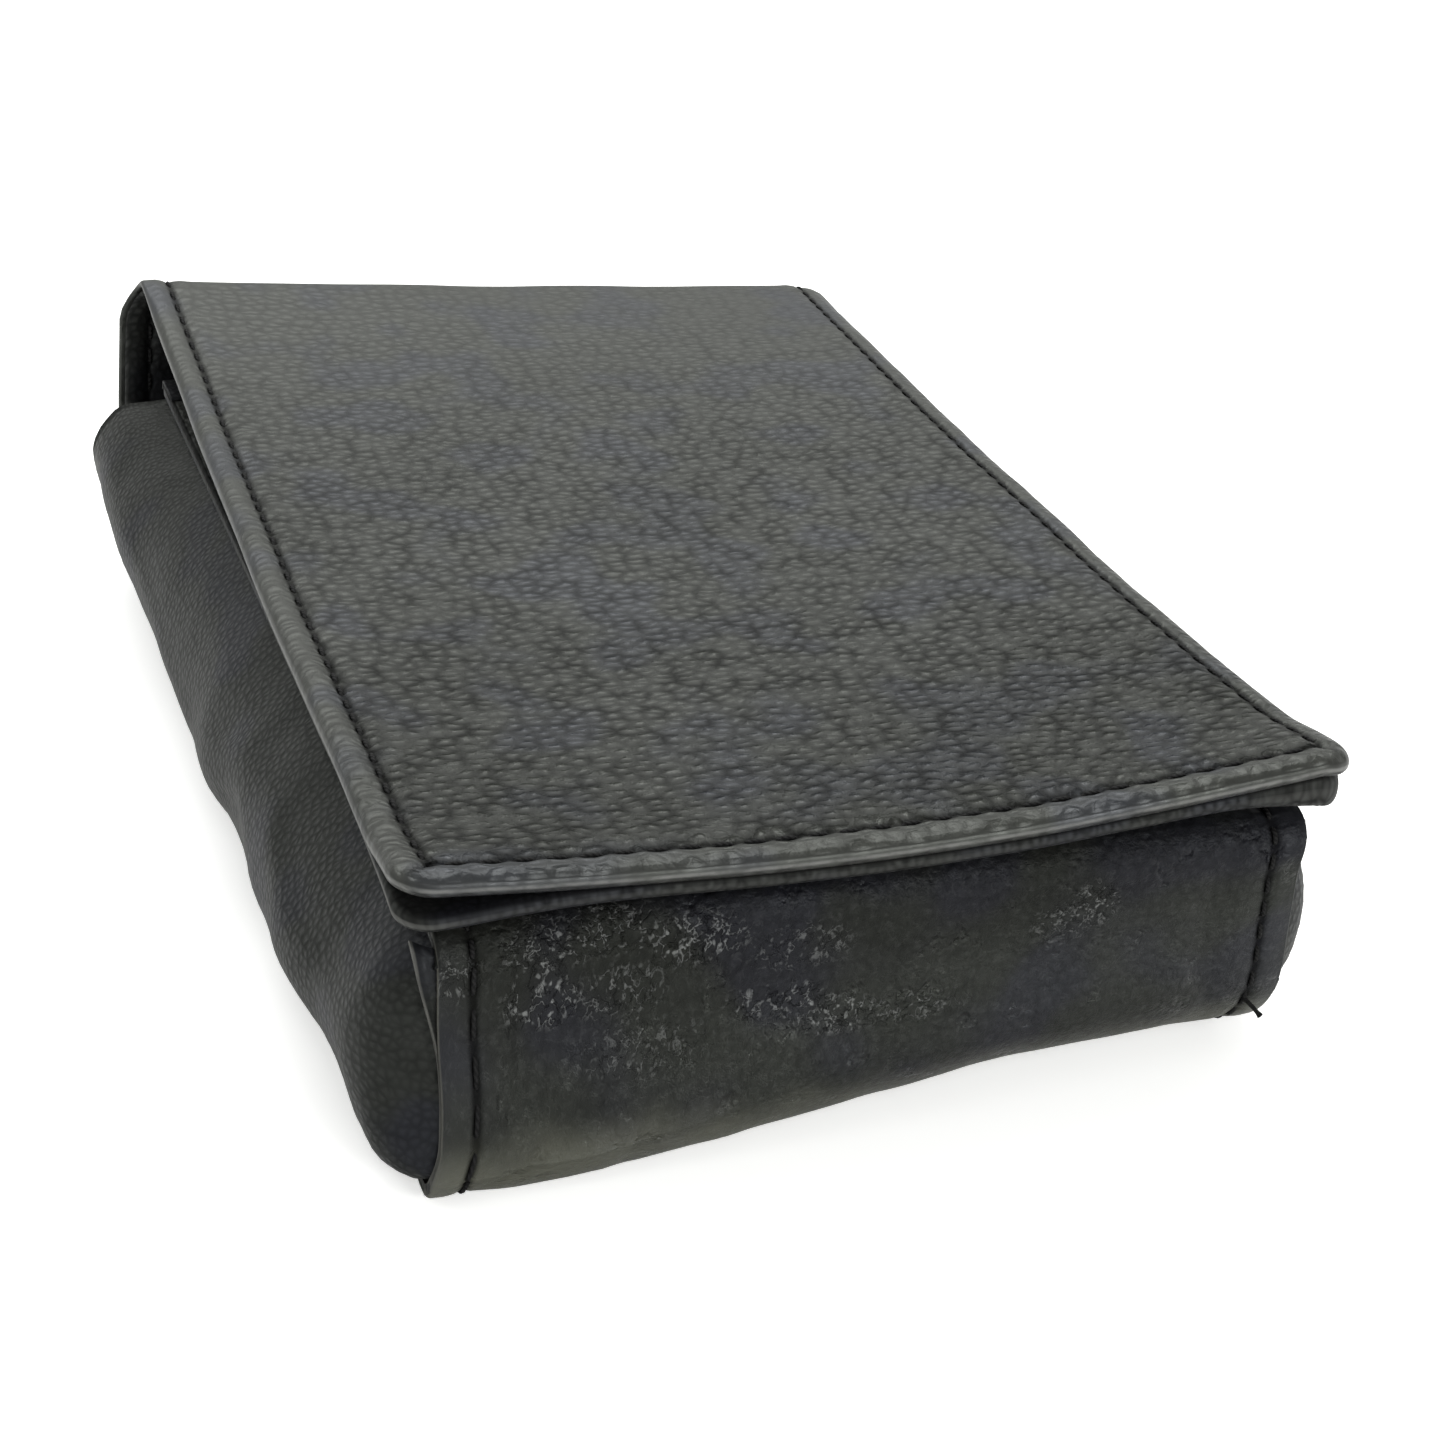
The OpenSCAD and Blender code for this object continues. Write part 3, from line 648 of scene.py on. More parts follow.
def gusset_sheet(side, seed):
    """Outer face of a gusset, built for the right: flange, web and mouth edge. side is -1
    for left. Also returns how free each point of the web is."""
    is_left = side < 0
    noise = Noise(seed)
    foot = float(foot_radius(side * POUCH_HALF)) - FIT
    pad = len(FLANGE)
    up = np.clip(np.arange(-pad, WEB_STEPS + pad + 1) / WEB_STEPS, 0, 1)

    def heights(y):
        """Lower and upper edges of the web."""
        return (GUSSET_LOW + rounded(GUSSET_Y + foot - y, foot) + 0.6,
                GUSSET_HIGH - rounded(GUSSET_Y + GUSSET_TOP_R - y, GUSSET_TOP_R) - 0.6)

    # the flange along the closed end
    y = GUSSET_Y + 0.6
    low, high = heights(y)
    inward = END_FLANGE / END_FLANGE[-1]
    top = (GUSSET_HIGH - 0.7) * (1 - inward) + high * inward
    bottom = (GUSSET_LOW + 0.3) * (1 - inward) + low * inward
    z = bottom + (top - bottom) * up
    y = (y + rounded(z - (GUSSET_HIGH - GUSSET_TOP_R), GUSSET_TOP_R)
         + rounded(GUSSET_LOW + foot - z, foot))
    flange = np.stack(np.broadcast_arrays(POUCH_HALF - END_FLANGE, y, z), -1)

    # the web, with a flange column group below and above
    angle = np.radians(np.linspace(14, 90, 11))
    y = np.concatenate([GUSSET_Y + foot * (1 - np.cos(angle)) + 0.2,
                        spread(GUSSET_Y + foot + 1.6, GUSSET_Y + foot + 12, 9),
                        np.linspace(GUSSET_Y + foot + 12, GUSSET_TIP, 84)])[:, None]
    low, high = heights(y)
    slope = smooth((y - 30) / (GUSSET_TIP - 30))
    near = smooth((-62.0 - y) / 22.0)
    far = smooth((y + 30) / 90.0)
    if is_left:
        full = 14.7 + 0.2 * far - 1.7 * near + 0.30 + np.interp(y, LEFT_Y, LEFT_FULL)
        reach = 11.0
        tuck = 1.0 - smooth((y - GUSSET_Y - 8.0) / 12.0)
        early = 1.0 - smooth((up - 0.04) / 0.34)
    else:
        full = 14.2 + 1.2 * far - 1.5 * near
        reach = 17.0
        tuck = early = 0.0
    skew = 0.88 + 0.12 * far + 0.22 * smooth((y - 40) / 45.0)
    section = np.maximum(np.sin(np.pi * up ** skew), 0) ** (0.58 - 0.16 * near)
    growth = swell((y - GUSSET_Y) / reach)
    low_growth = swell((y - GUSSET_Y) / (0.60 * reach))
    shape = (growth + (low_growth - growth) * early) * section
    z = low + up * (high - low)
    hollows = 0.9 * noise(y, z * 1.6, 30) + 0.45 * noise(y + 300, z * 1.4, 12)
    bulge = np.maximum(shape * (full + hollows), 0.0) + 1.5 * tuck * (1.0 - smooth(up / 0.30))
    x = WEB_X + bulge
    x[:, :pad] = POUCH_HALF - FLANGE * (1 - 0.20 * tuck)
    x[:, -pad:] = POUCH_HALF - FLANGE[::-1]
    y = y - slope * (GUSSET_TIP - MOUTH_Y + 0.5) * smooth((up - 0.82) / 0.18)
    sheet = np.concatenate([flange, np.stack([x, y, z], -1)])
    return sheet, (growth * section)[:, pad:-pad]


def drape(points, pin, limit):
    """Lets the web settle as cloth: pinned along its seams, a little too long for its
    place, pushed out from inside. Returns the new points."""
    ob = make("sim_tmp", points.reshape(-1, 3), grid_faces(*points.shape[:2]))
    group = ob.vertex_groups.new(name="pin")
    for i, weight in enumerate(pin.ravel()):
        group.add([i], float(weight), "REPLACE")
    ob.data.transform(Matrix.Scale(10, 4))        # the solver is happier at this size
    cloth = ob.modifiers.new("Cloth", "CLOTH")
    settings = cloth.settings
    settings.quality = 8
    settings.mass = 0.25
    settings.tension_stiffness = 60
    settings.compression_stiffness = 60
    settings.shear_stiffness = 30
    settings.bending_stiffness = 60
    settings.vertex_group_mass = "pin"
    settings.shrink_min = -0.007                  # a little more leather than the seam has room for
    settings.use_pressure = True
    settings.uniform_pressure_force = 3.0
    settings.effector_weights.gravity = 0.0
    cloth.collision_settings.use_collision = False
    cloth.collision_settings.use_self_collision = False
    cloth.point_cache.frame_start = 1
    cloth.point_cache.frame_end = 40
    scene = bpy.context.scene
    moved = np.zeros(len(ob.data.vertices) * 3, np.float32)
    for number in range(1, 25):                   # each frame has to be evaluated in turn
        scene.frame_set(number)
        evaluated = ob.evaluated_get(bpy.context.evaluated_depsgraph_get())
        evaluated.data.vertices.foreach_get("co", moved)
    scene.frame_set(1)
    bpy.data.objects.remove(ob)
    shift = moved.reshape(points.shape).astype(float) * 100 - points
    distance = np.linalg.norm(shift, axis=-1, keepdims=True)
    return points + shift / np.sqrt(1 + (distance / limit) ** 2)   # stiff hide never moves far


def offset_inwards(sheet, distance, flip):
    normal = np.cross(np.gradient(sheet, axis=0), np.gradient(sheet, axis=1))
    normal = normal / np.maximum(np.linalg.norm(normal, axis=-1, keepdims=True), 1e-9)
    return sheet + normal * distance if flip else sheet - normal * distance


def solid_sheet(name, sheet, coords, thickness, flip):
    """Closes a sheet, given as its outer face, with its offset copy."""
    rows, cols = sheet.shape[:2]
    count = rows * cols
    skins = (sheet, offset_inwards(sheet, thickness, flip))
    index = np.arange(count).reshape(rows, cols)
    border = np.concatenate([index[0, :-1], index[:-1, -1], index[-1, ::-1][:-1],
                             index[::-1, 0][:-1]])
    after = np.roll(border, -1)
    wall = np.stack([border, border + count, after + count, after], -1)
    faces = np.concatenate([grid_faces(rows, cols, 0, flip),
                            grid_faces(rows, cols, count, not flip),
                            wall if flip else wall[:, ::-1]])
    coords = coords.reshape(-1, 3)
    rim = np.zeros(2 * count)
    rim[:cols] = 1
    rim[count:count + cols] = 1
    return make(name, np.concatenate([settle_pouch(skin).reshape(-1, 3) for skin in skins]),
                faces, {"lco": np.concatenate([coords, coords + [0, 0, thickness]]), "rim": rim})


def distances(points, axis):
    """Distance travelled over a sheet along one of its axes."""
    steps = np.linalg.norm(np.diff(points, axis=axis), axis=-1)
    start = np.zeros_like(np.take(steps, [0], axis=axis))
    return np.concatenate([start, np.cumsum(steps, axis=axis)], axis)


def gusset(side, name, seed, limit):
    """A gusset and its lining."""
    is_left = side < 0
    sheet, free = gusset_sheet(side, seed)
    # distances over the sheet serve as its leather coordinates
    middle = sheet.shape[1] // 2
    upwards, lengthwise = distances(sheet, 1), distances(sheet, 0)
    upwards = upwards - upwards[:, middle][:, None]
    coords = np.stack([upwards + (400 if is_left else 200),
                       lengthwise[:, middle][:, None] + 0 * upwards, 0 * upwards], -1)
    # the web only: the flanges are sewn down, and their corners have coincident points
    pin = 1 - smooth(free / 0.55)
    pin[:2] = 1
    pin[:, :2] = 1
    pin[:, -2:] = 1
    mouth = 0.4 * smooth(np.arange(1, 15) / 14.0)[:, None]
    pin[-14:] = np.maximum(pin[-14:], mouth)
    sheet[WEB] = drape(sheet[WEB], pin, limit)
    if is_left:
        # the seam allowance has sprung open beside the closed end
        sprung = np.array(SPRUNG)[:, None] * smooth((sheet[:len(SPRUNG), :, 2] - 18.0) / 19.0)
        sheet[:len(SPRUNG), :, 0] += 2.7 * sprung
        sheet[:len(SPRUNG), :, 1] += 0.7 * sprung
    sheet[..., 0] *= side
    hide = solid_sheet(name, sheet, coords, HIDE, is_left)
    inside = offset_inwards(sheet[WEB], HIDE + 0.12, is_left)
    lining = solid_sheet(name + "_lining", inside, coords[WEB] + [0, 0, 3], 0.5, is_left)
    return hide, lining


left_gusset, left_gusset_lining = gusset(-1, "gusset_left", seed=51, limit=0.55)
right_gusset, right_gusset_lining = gusset(1, "gusset_right", seed=67, limit=1.0)

# ---------------------------------------------------------------- stitching

RING = 8                                       # points round a thread
TURN = 2 * np.pi * np.arange(RING) / RING
LEAN = 0.05                                    # how much a stitch slants
# rings of a stitch: place along it as a share of its length, height, fatness
STITCH_RINGS = [(-0.50, -0.42, 0.45), (-0.44, -0.16, 0.85), (-0.30, 0.04, 1.0),
                (0.0, 0.11, 1.03), (0.30, 0.04, 1.0), (0.44, -0.16, 0.85), (0.50, -0.42, 0.45)]
BINDING_RINGS = [(-0.5, -0.40, 0.45), (-0.44, -0.15, 0.85), (-0.3, 0.02, 1.0),
                 (0, 0.08, 1.0), (0.3, 0.02, 1.0), (0.44, -0.15, 0.85), (0.5, -0.40, 0.45)]
STITCH_POINTS = len(STITCH_RINGS) * RING


def stitch_shape(rings, width, height):
    """Points of one stitch: share of its length, offset aside and height."""
    share, rise, fat = np.repeat(rings, RING, axis=0).T
    turn = np.tile(TURN, len(rings))
    return share, np.cos(turn) * width * fat, rise + np.sin(turn) * height * fat


def make_stitches(name, points, forward, number):
    """`forward` is each point's place along its stitch, `number` spaces the textures."""
    count = len(points) // STITCH_POINTS
    turn = np.tile(TURN * 0.4, count * len(STITCH_RINGS))
    coords = np.stack([np.tile(forward, count) + 10 * number, turn, 0 * turn], -1)
    faces = [face for i in range(count)
             for face in tube_faces(len(STITCH_RINGS), RING, i * STITCH_POINTS)]
    return make(name, points, faces, {"lco": coords})


def strip_stitches(name, places, settle, face=1):
    """Stitches on the strip. Places: x, along, is it crosswise, base lift, lean."""
    share, aside, rise = stitch_shape(STITCH_RINGS, width=0.30, height=0.24)
    forward = share * 2.75
    points = []
    for x, along, crosswise, base, lean in places:
        slanted = aside + lean * share * 2
        across, onwards = (forward, slanted) if crosswise else (slanted, forward)
        points.append(np.stack([x + across, along + onwards, base + face * rise], -1))
    points = np.concatenate(points)
    number = (np.arange(len(points)) + 1) // STITCH_POINTS % 97
    return make_stitches(name, settle(lay(*points.T)), forward, number)


jitter = np.random.RandomState(5)


def side_run(half_width, start, end, inset, base, sides=(-1, 1)):
    places = []
    for side in sides:
        for i in range(int((end - start) / PITCH)):
            along = start + (i + 0.5) * PITCH
            places.append((side * (at(half_width, along) - inset),
                           along + jitter.uniform(-0.08, 0.08), False, at(base, along),
                           side * LEAN))
    return places


def centred(count):
    return [(i - (count - 1) / 2) * PITCH for i in range(count)]


def edge_run(along, base):
    return [(x, along, True, base, LEAN) for x in centred(EDGE_STITCHES)]


def lining_base(along):
    return lining_face(along) - lining_thickness(along) + 0.30


GROOVE = -0.34                                 # lift of the stitches in the cover's groove
SEAM_START = 3.0
LINING_RUN_END = LINING_EDGE - 4.9

cover_count = int((SIDE_RUN_END - (S_MID + 1)) / PITCH)
cover_stitches = strip_stitches(
    "cover_stitching",
    side_run(hide_half, SIDE_RUN_END - cover_count * PITCH, SIDE_RUN_END, COVER_INSET, GROOVE)
    + edge_run(S_EDGE - COVER_INSET, GROOVE), settle_cover)

lining_count = int((LINING_RUN_END - S_MID - 1) / PITCH)
lining_stitches = strip_stitches(
    "cover_lining_stitching",
    side_run(lining_half, LINING_EDGE - LINING_INSET - 1.2 - lining_count * PITCH,
             LINING_RUN_END, LINING_INSET, lining_base)
    + edge_run(LINING_EDGE - LINING_INSET, lining_base(S_EDGE)), settle_lining, face=-1)

fold_count = int((S_MID - 1.5 - (S_FOLD - 26)) / PITCH)
fold_stitches = strip_stitches(
    "back_fold_stitching",
    side_run(hide_half, S_MID - 0.6 - fold_count * PITCH, S_MID - 0.6, 4.4, GROOVE),
    settle_cover)

left_seam, right_seam = (
    strip_stitches(name, side_run(POUCH_HALF, SEAM_START, S_FOLD - 31, SEAM_INSET, -0.26,
                                  sides=(side,)), settle_pouch)
    for side, name in ((-1, "seam_stitching_left"), (1, "seam_stitching_right")))

# ---------------------------------------------------------------- mouth binding


def mouth_binding():
    """A folded strip over the front panel's mouth edge."""
    thick = 0.6
    under = POUCH_TOP + 0.02                   # underside of its upper leaf
    depth = 2.5 + SUEDE + 0.02                 # what it wraps: panel, lining and clearance
    y1 = MOUTH_Y + 0.05
    radius = (depth + thick * 2) / 2
    centre = under + thick - radius
    low = centre - radius
    # section in y and z: back from the mouth, height in thicknesses above `under`
    upper = ((8, 0.35), (7.7, 0.85), (7.2, 1), (6.4, 0.96), (5.95, 0.62), (5.5, 0.96),
             (4.5, 1.05), (2, 1.05), (0.5, 1))
    section = [(y1 - back, under + thick * height) for back, height in upper]
    for degrees in range(75, -91, -15):
        angle = math.radians(degrees)
        section.append((y1 - 0.5 + radius * 0.55 * math.cos(angle),
                        centre + radius * math.sin(angle)))
    section += [(y1 - 2, low), (y1 - 5, low), (y1 - 7.4, low), (y1 - 7.8, low + thick * 0.3)]
    # and back along its inside
    section += [(y1 - 7.9, low + thick), (y1 - 5, low + thick), (y1 - 1, low + thick),
                (y1, low + thick + 0.4), (y1 + 0.05, under - 0.5), (y1 - 0.1, under - 0.02),
                (y1 - 2, under - 0.02), (y1 - 5, under - 0.02), (y1 - 8, under - 0.02)]
    y, z = np.array(section).T
    travelled = np.cumsum(np.hypot(np.diff(y, prepend=y[0]), np.diff(z, prepend=z[0])))
    x = np.concatenate([[-POUCH_HALF, -POUCH_HALF + 0.15, -POUCH_HALF + 0.5],
                        np.linspace(-POUCH_HALF + 2, POUCH_HALF - 2, 50),
                        [POUCH_HALF - 0.5, POUCH_HALF - 0.15, POUCH_HALF]])[:, None]
    # beyond the lining only the hide itself is wrapped
    outside = (np.abs(x) > LINING_HALF) & (z < POUCH_TOP - 0.2)
    z = np.where(outside, np.maximum(z, POUCH_TOP - 1.18), z)
    points = np.stack(np.broadcast_arrays(x, y + 0.12 * MEDIUM(x, y, 9), z), -1)
    coords = np.stack(np.broadcast_arrays(x, 700 + travelled, 0.0), -1)
    return make("mouth_binding_strip", points.reshape(-1, 3), tube_faces(len(x), len(section)),
                {"lco": coords.reshape(-1, 3)})


def binding_stitches():
    share, aside, rise = stitch_shape(BINDING_RINGS, width=0.28, height=0.24)
    forward = share * 2.7
    count = int((2 * POUCH_HALF - 8) / PITCH)
    points = [np.stack([x + forward, MOUTH_Y - 5.9 + aside, POUCH_TOP + 0.62 - 0.15 + rise], -1)
              for x in centred(count)]
    return make_stitches("mouth_binding_stitching", np.concatenate(points), forward,
                         np.repeat(np.arange(count), STITCH_POINTS))


def loose_thread():
    """Loose end of thread at the lower right corner of the closed end."""
    z = 9.4
    y = END_Y + FOOT_R_RIGHT - math.sqrt(FOOT_R_RIGHT ** 2 - (FOOT_R_RIGHT - z) ** 2)
    # x from the pouch's side, y and z from the surface
    path = np.array([(-4.6, 1.0, 0.9), (-4.4, 0.2, 0.4), (-4.0, -0.5, 0), (-3.5, -1.0, -0.5),
                     (-3.0, -1.4, -1.1), (-2.6, -1.7, -1.6)]) + [POUCH_HALF, y, z]
    last = len(path) - 1
    t = np.linspace(0, last, 22)
    k = np.clip(t.astype(int), 0, last - 1)
    t = (t - k)[:, None]
    before, start, end, after = (path[np.clip(k + i, 0, last)] for i in (-1, 0, 1, 2))
    curve = 0.5 * (2 * start + (end - before) * t
                   + (2 * before - 5 * start + 4 * end - after) * t ** 2
                   + (-before + 3 * start - 3 * end + after) * t ** 3)
    number = np.arange(len(curve))
    ahead = curve[np.minimum(number + 1, number[-1])] - curve[np.maximum(number - 1, 0)]
    ahead /= np.linalg.norm(ahead, axis=1, keepdims=True)
    aside = np.cross(ahead, [0, 0, 1.0])
    aside /= np.linalg.norm(aside, axis=1, keepdims=True)
    across = np.cross(ahead, aside)
    radius = 0.30 * (1.0 + 0.12 * np.maximum(number - 17, 0))     # frayed thicker at its tip
    ring = (aside[:, None] * np.cos(TURN)[:, None] + across[:, None] * np.sin(TURN)[:, None])
    points = curve[:, None] + ring * radius[:, None, None]
    coords = np.stack(np.broadcast_arrays(number[:, None] * 0.5, TURN * 0.4, 0.0), -1)
    return make("loose_thread_end", settle_pouch(points.reshape(-1, 3)),
                tube_faces(len(curve), RING), {"lco": coords.reshape(-1, 3)})


binding = mouth_binding()
binding_thread = binding_stitches()
loose_end = loose_thread()

# ---------------------------------------------------------------- shader helpers


class Signal:
    """A shader output that can be added, subtracted, multiplied and ramped."""

    def __init__(self, graph, socket):
        self.graph, self.socket = graph, socket

    def __add__(self, other):
        return self.graph.math("ADD", self, other)

    def __sub__(self, other):
        return self.graph.math("SUBTRACT", self, other)

    def __rsub__(self, other):
        return self.graph.math("SUBTRACT", other, self)

    def __mul__(self, other):
        return self.graph.math("MULTIPLY", self, other)

    def ramp(self, start, end, to=(0.0, 1.0)):
        """Smooth step from to[0] at start to to[1] at end."""
        inputs = dict(enumerate((self, start, end, *to)))
        return self.graph.node("ShaderNodeMapRange", inputs, interpolation_type="SMOOTHSTEP")


class Graph:
    """A node tree under construction."""

    def __init__(self, tree):
        self.tree = tree
        tree.nodes.clear()

    def put(self, socket, value):
        if isinstance(value, Signal):
            self.tree.links.new(value.socket, socket)
        elif socket.type == "RGBA" and len(value) == 3:
            socket.default_value = (*value, 1.0)
        else:
            socket.default_value = value

    def node(self, kind, inputs=None, out=0, **settings):
        node = self.tree.nodes.new(kind)
        for key, value in settings.items():
            setattr(node, key, value)
        for key, value in (inputs or {}).items():
            self.put(node.inputs[key], value)
        return Signal(self, node.outputs[out])

    def math(self, operation, a, b=0.0, clamp=False):
        return self.node("ShaderNodeMath", {0: a, 1: b}, operation=operation, use_clamp=clamp)

    def split(self, vector):
        outputs = self.node("ShaderNodeSeparateXYZ", {0: vector}).socket.node.outputs
        return [Signal(self, socket) for socket in outputs]

    def attribute(self, name, out="Vector"):
        return self.node("ShaderNodeAttribute", out=out, attribute_name=name)

    def moved(self, vector, offset):
        return self.node("ShaderNodeVectorMath", {0: vector, 1: offset}, operation="ADD")

    def scaled(self, vector, factors):
        return self.node("ShaderNodeVectorMath", {0: vector, 1: factors}, operation="MULTIPLY")

    def object_mm(self):
        return self.scaled(self.node("ShaderNodeTexCoord", out="Object"), (1000, 1000, 1000))

    def noise(self, vector, scale, detail=3.0, rough=0.5, out=0):
        return self.node("ShaderNodeTexNoise", {"Vector": vector, "Scale": scale,
                                                "Detail": detail, "Roughness": rough}, out)

    def voronoi(self, vector, scale, feature="DISTANCE_TO_EDGE", random=1.0):
        inputs = {"Vector": vector, "Scale": scale, "Randomness": random}
        return self.node("ShaderNodeTexVoronoi", inputs, voronoi_dimensions="2D",
                         feature=feature)

    def warped(self, coords, size, amount):
        """Coordinates pushed about by noise, so that cells look grown."""
        push = self.noise(coords, 1.0 / size, detail=2.0, out="Color")
        push = self.scaled(self.moved(push, (-0.5,) * 3), (amount,) * 3)
        return self.moved(coords, push)

    def mix(self, factor, a, b):
        """Between two colours."""
        return self.node("ShaderNodeMix", {0: factor, 6: a, 7: b}, 2, data_type="RGBA")

    def blend(self, factor, a, b):
        """Between two numbers."""
        return self.node("ShaderNodeMix", {0: factor, 2: a, 3: b}, data_type="FLOAT")


class Material(Graph):
    def __init__(self, name):
        self.data = bpy.data.materials.new(name)
        self.data.use_nodes = True
        super().__init__(self.data.node_tree)
        output = self.tree.nodes.new("ShaderNodeOutputMaterial")
        self.shader = self.tree.nodes.new("ShaderNodeBsdfPrincipled")
        self.tree.links.new(self.shader.outputs[0], output.inputs[0])

    def finish(self, color, roughness, height=None, depth=0.0, **others):
        """Sets the surface. `depth` is the relief's in metres."""
        inputs = {"Base Color": color, "Roughness": roughness}
        inputs.update({key.replace("_", " "): value for key, value in others.items()})
        if height is not None:
            inputs["Normal"] = self.node("ShaderNodeBump", {"Height": height, "Distance": depth,
                                                            "Strength": 1.0})
        for key, value in inputs.items():
            self.put(self.shader.inputs[key], value)
        return self.data


# ---------------------------------------------------------------- leather

# painted highlights where the closed end's gloss catches the light: x, z, half width, half height,
# strength
PAINTED_GLINTS = ((-41.5, 33.0, 4.5, 3.0, 0.70), (-33.5, 34.5, 5.0, 2.8, 0.80),
          (-23.5, 31.5, 6.0, 3.2, 0.80), (-41.8, 26.2, 4.2, 3.6, 0.90),
          (-32.0, 25.4, 5.0, 3.6, 0.55), (-14.0, 20.8, 3.8, 2.0, 0.75),
          (-9.5, 20.6, 3.6, 2.2, 1.00), (-4.5, 18.2, 4.6, 2.2, 0.90),
          (5.0, 17.8, 7.5, 1.8, 0.50), (30.0, 28.4, 2.8, 3.0, 0.85),
          (26.0, 26.0, 4.0, 2.6, 0.50), (-52.5, 31.0, 3.0, 2.6, 0.60),
          (-29.0, 17.0, 8.0, 3.4, 0.35), (-9.5, 28.5, 6.0, 3.0, 0.40))
PAINTED_VALLEY_SHADE = (0.0035, 0.0035, 0.0035)                # painted shade in the valleys of the grain


class Leather(Material):
    """Pebbled leather. kind is "cover", "pouch", "gusset" or "lining"."""

    def __init__(self, name, kind, cell, depth, light=(0.022, 0.0225, 0.0200),
                 cool=(0.017, 0.0185, 0.0225), rough=(0.40, 0.62), spec=0.5, cavity=1.0,
                 relief=1.0, stretch=(1.0, 1.0, 1.0), rim_color=None):
        """cell: pebble size. light, cool: crown colours. rough: on crowns and in valleys.
        spec: shine. cavity: strength of the painted shade in the grain's valleys. relief: strength
        of the grain."""
        super().__init__(name)
        self.kind = kind
        self.coords = self.attribute("lco")
        if kind != "gusset":
            self.across, self.along, _ = self.split(self.coords)
        self.grain(cell, stretch, cavity, relief)
        tone = self.tones(light, cool)
        if kind == "pouch":
            tone = self.closed_end_shaded_tone(tone)
        if kind in ("cover", "pouch"):
            # place along the seam, distance inwards from it, and 1 on the outer face
            self.run, self.from_seam, self.outer = self.split(self.attribute("seam"))
            self.hem = (1 - self.from_seam.ramp(-1.2, 0.2)) * self.outer
            self.low = self.low * (1 - self.hem * 0.65)
        # painted shade: colour and shine are darkened in the grain's valleys, by how low each point
        # sits
        self.color = self.mix(self.low, tone, PAINTED_VALLEY_SHADE)
        self.spec = self.blend(self.low, spec, spec * 0.12)
        self.rough = (self.blend(self.low, *rough) + (self.fine - 0.5) * 0.16
                      + (self.big - 0.5) * 0.16)
        if kind == "pouch":
            self.closed_end_gloss_and_painted_light()
        self.rim = self.attribute("rim", "Fac")
        if kind == "cover":
            self.cover_rim()
        else:
            self.raw_rim(rim_color)
        self.height = self.height * self.amount * (1 - self.rim.ramp(0.1, 0.7) * 0.8)
        if kind in ("cover", "pouch"):
            self.seam()
        tint = self.mix(self.patch.ramp(0.48, 0.62), (0.95, 1.0, 0.915), (0.92, 0.965, 1.0))
        rough = self.math("MAXIMUM", self.math("MINIMUM", self.rough, 0.95), 0.16)
        self.finish(self.color, rough, self.height, depth, Specular_Tint=tint,
                    Specular_IOR_Level=self.spec)

    def grain(self, cell, stretch, cavity, relief):
        """Height of the grain, and how low each point sits between its neighbours; the latter sets
        the painted shade in the valleys.
        """
        coords = self.coords
        cells = self.scaled(self.warped(coords, cell * 1.6, cell * 0.42), stretch)
        crease = self.voronoi(cells, 1.0 / cell, random=0.82).ramp(0.0, 0.40)
        dome = self.voronoi(cells, 1.0 / cell, "SMOOTH_F1", random=0.82).ramp(0.66, 0.02)
        cells = self.warped(self.scaled(coords, stretch), cell * 0.6, cell * 0.30)
        small = self.voronoi(cells, 2.3 / cell).ramp(0.0, 0.16)
        # some creases are shallow
        keep = self.noise(coords, 0.42 / cell, detail=1.0).ramp(0.34, 0.60, to=(0.62, 1.0))
        self.big = self.noise(coords, 1.0 / 30.0, detail=2.0)
        if self.kind != "cover":
            self.middle = self.noise(coords, 1.0 / 9.0, detail=2.0)
        self.patch = self.noise(self.moved(coords, (70.0, 30.0, 0.0)), 1.0 / 16.0, detail=1.0)
        self.fine = self.noise(coords, 2.6 / cell, rough=0.6)
        pore = self.noise(coords, 10.0 / cell, detail=2.0, rough=0.6)
        self.height = (crease * keep * 0.40 + dome * 0.62 + small * 0.05 + self.fine * 0.24
                       + pore * 0.04)
        self.amount = self.big.ramp(0.32, 0.66, to=(0.75, 1.12)) * relief
        low = (1 - (crease + dome * 0.8) * 0.5556) * keep * cavity
        if self.kind == "cover":
            # worn smoother towards the fold, boldest towards the free edge
            fade = (self.along.ramp(S_FLAP - 10, S_FLAP + 85, to=(0.34, 1.0))
                    * self.along.ramp(S_EDGE - 75, S_EDGE - 8, to=(1.0, 1.9)))
            self.amount = self.amount * fade
            low = low * self.math("MINIMUM", fade, 1.16)
        self.low = self.math("ADD", low, (1 - small) * (0.05 * cavity), clamp=True)

    def tones(self, light, cool):
        tone = self.mix(self.patch.ramp(0.48, 0.62), light, cool)
        return self.mix(self.big.ramp(0.35, 0.62) * 0.35, tone, tuple(c * 1.35 for c in light))

    def closed_end_shaded_tone(self, tone):
        """Painted shade on the closed end: darker greens and violets than on the rest of the same
        hide, with less painted shade in its valleys.
        """
        self.end = (self.along.ramp(S_BEND - 4, S_BEND + 6)
                    * (1 - self.along.ramp(S_BACK - 4, S_BACK + 10)))
        self.low = self.low * (1 - self.end * 0.72)
        # painted shade: the closed end's crowns are darker than the same hide's elsewhere, in
        # greens and violets at random
        shaded_end_tone = self.mix(self.patch.ramp(0.38, 0.62), (0.0074, 0.0080, 0.0064),
                            (0.0066, 0.0064, 0.0090))
        return self.mix(self.end * 0.9, tone, shaded_end_tone)

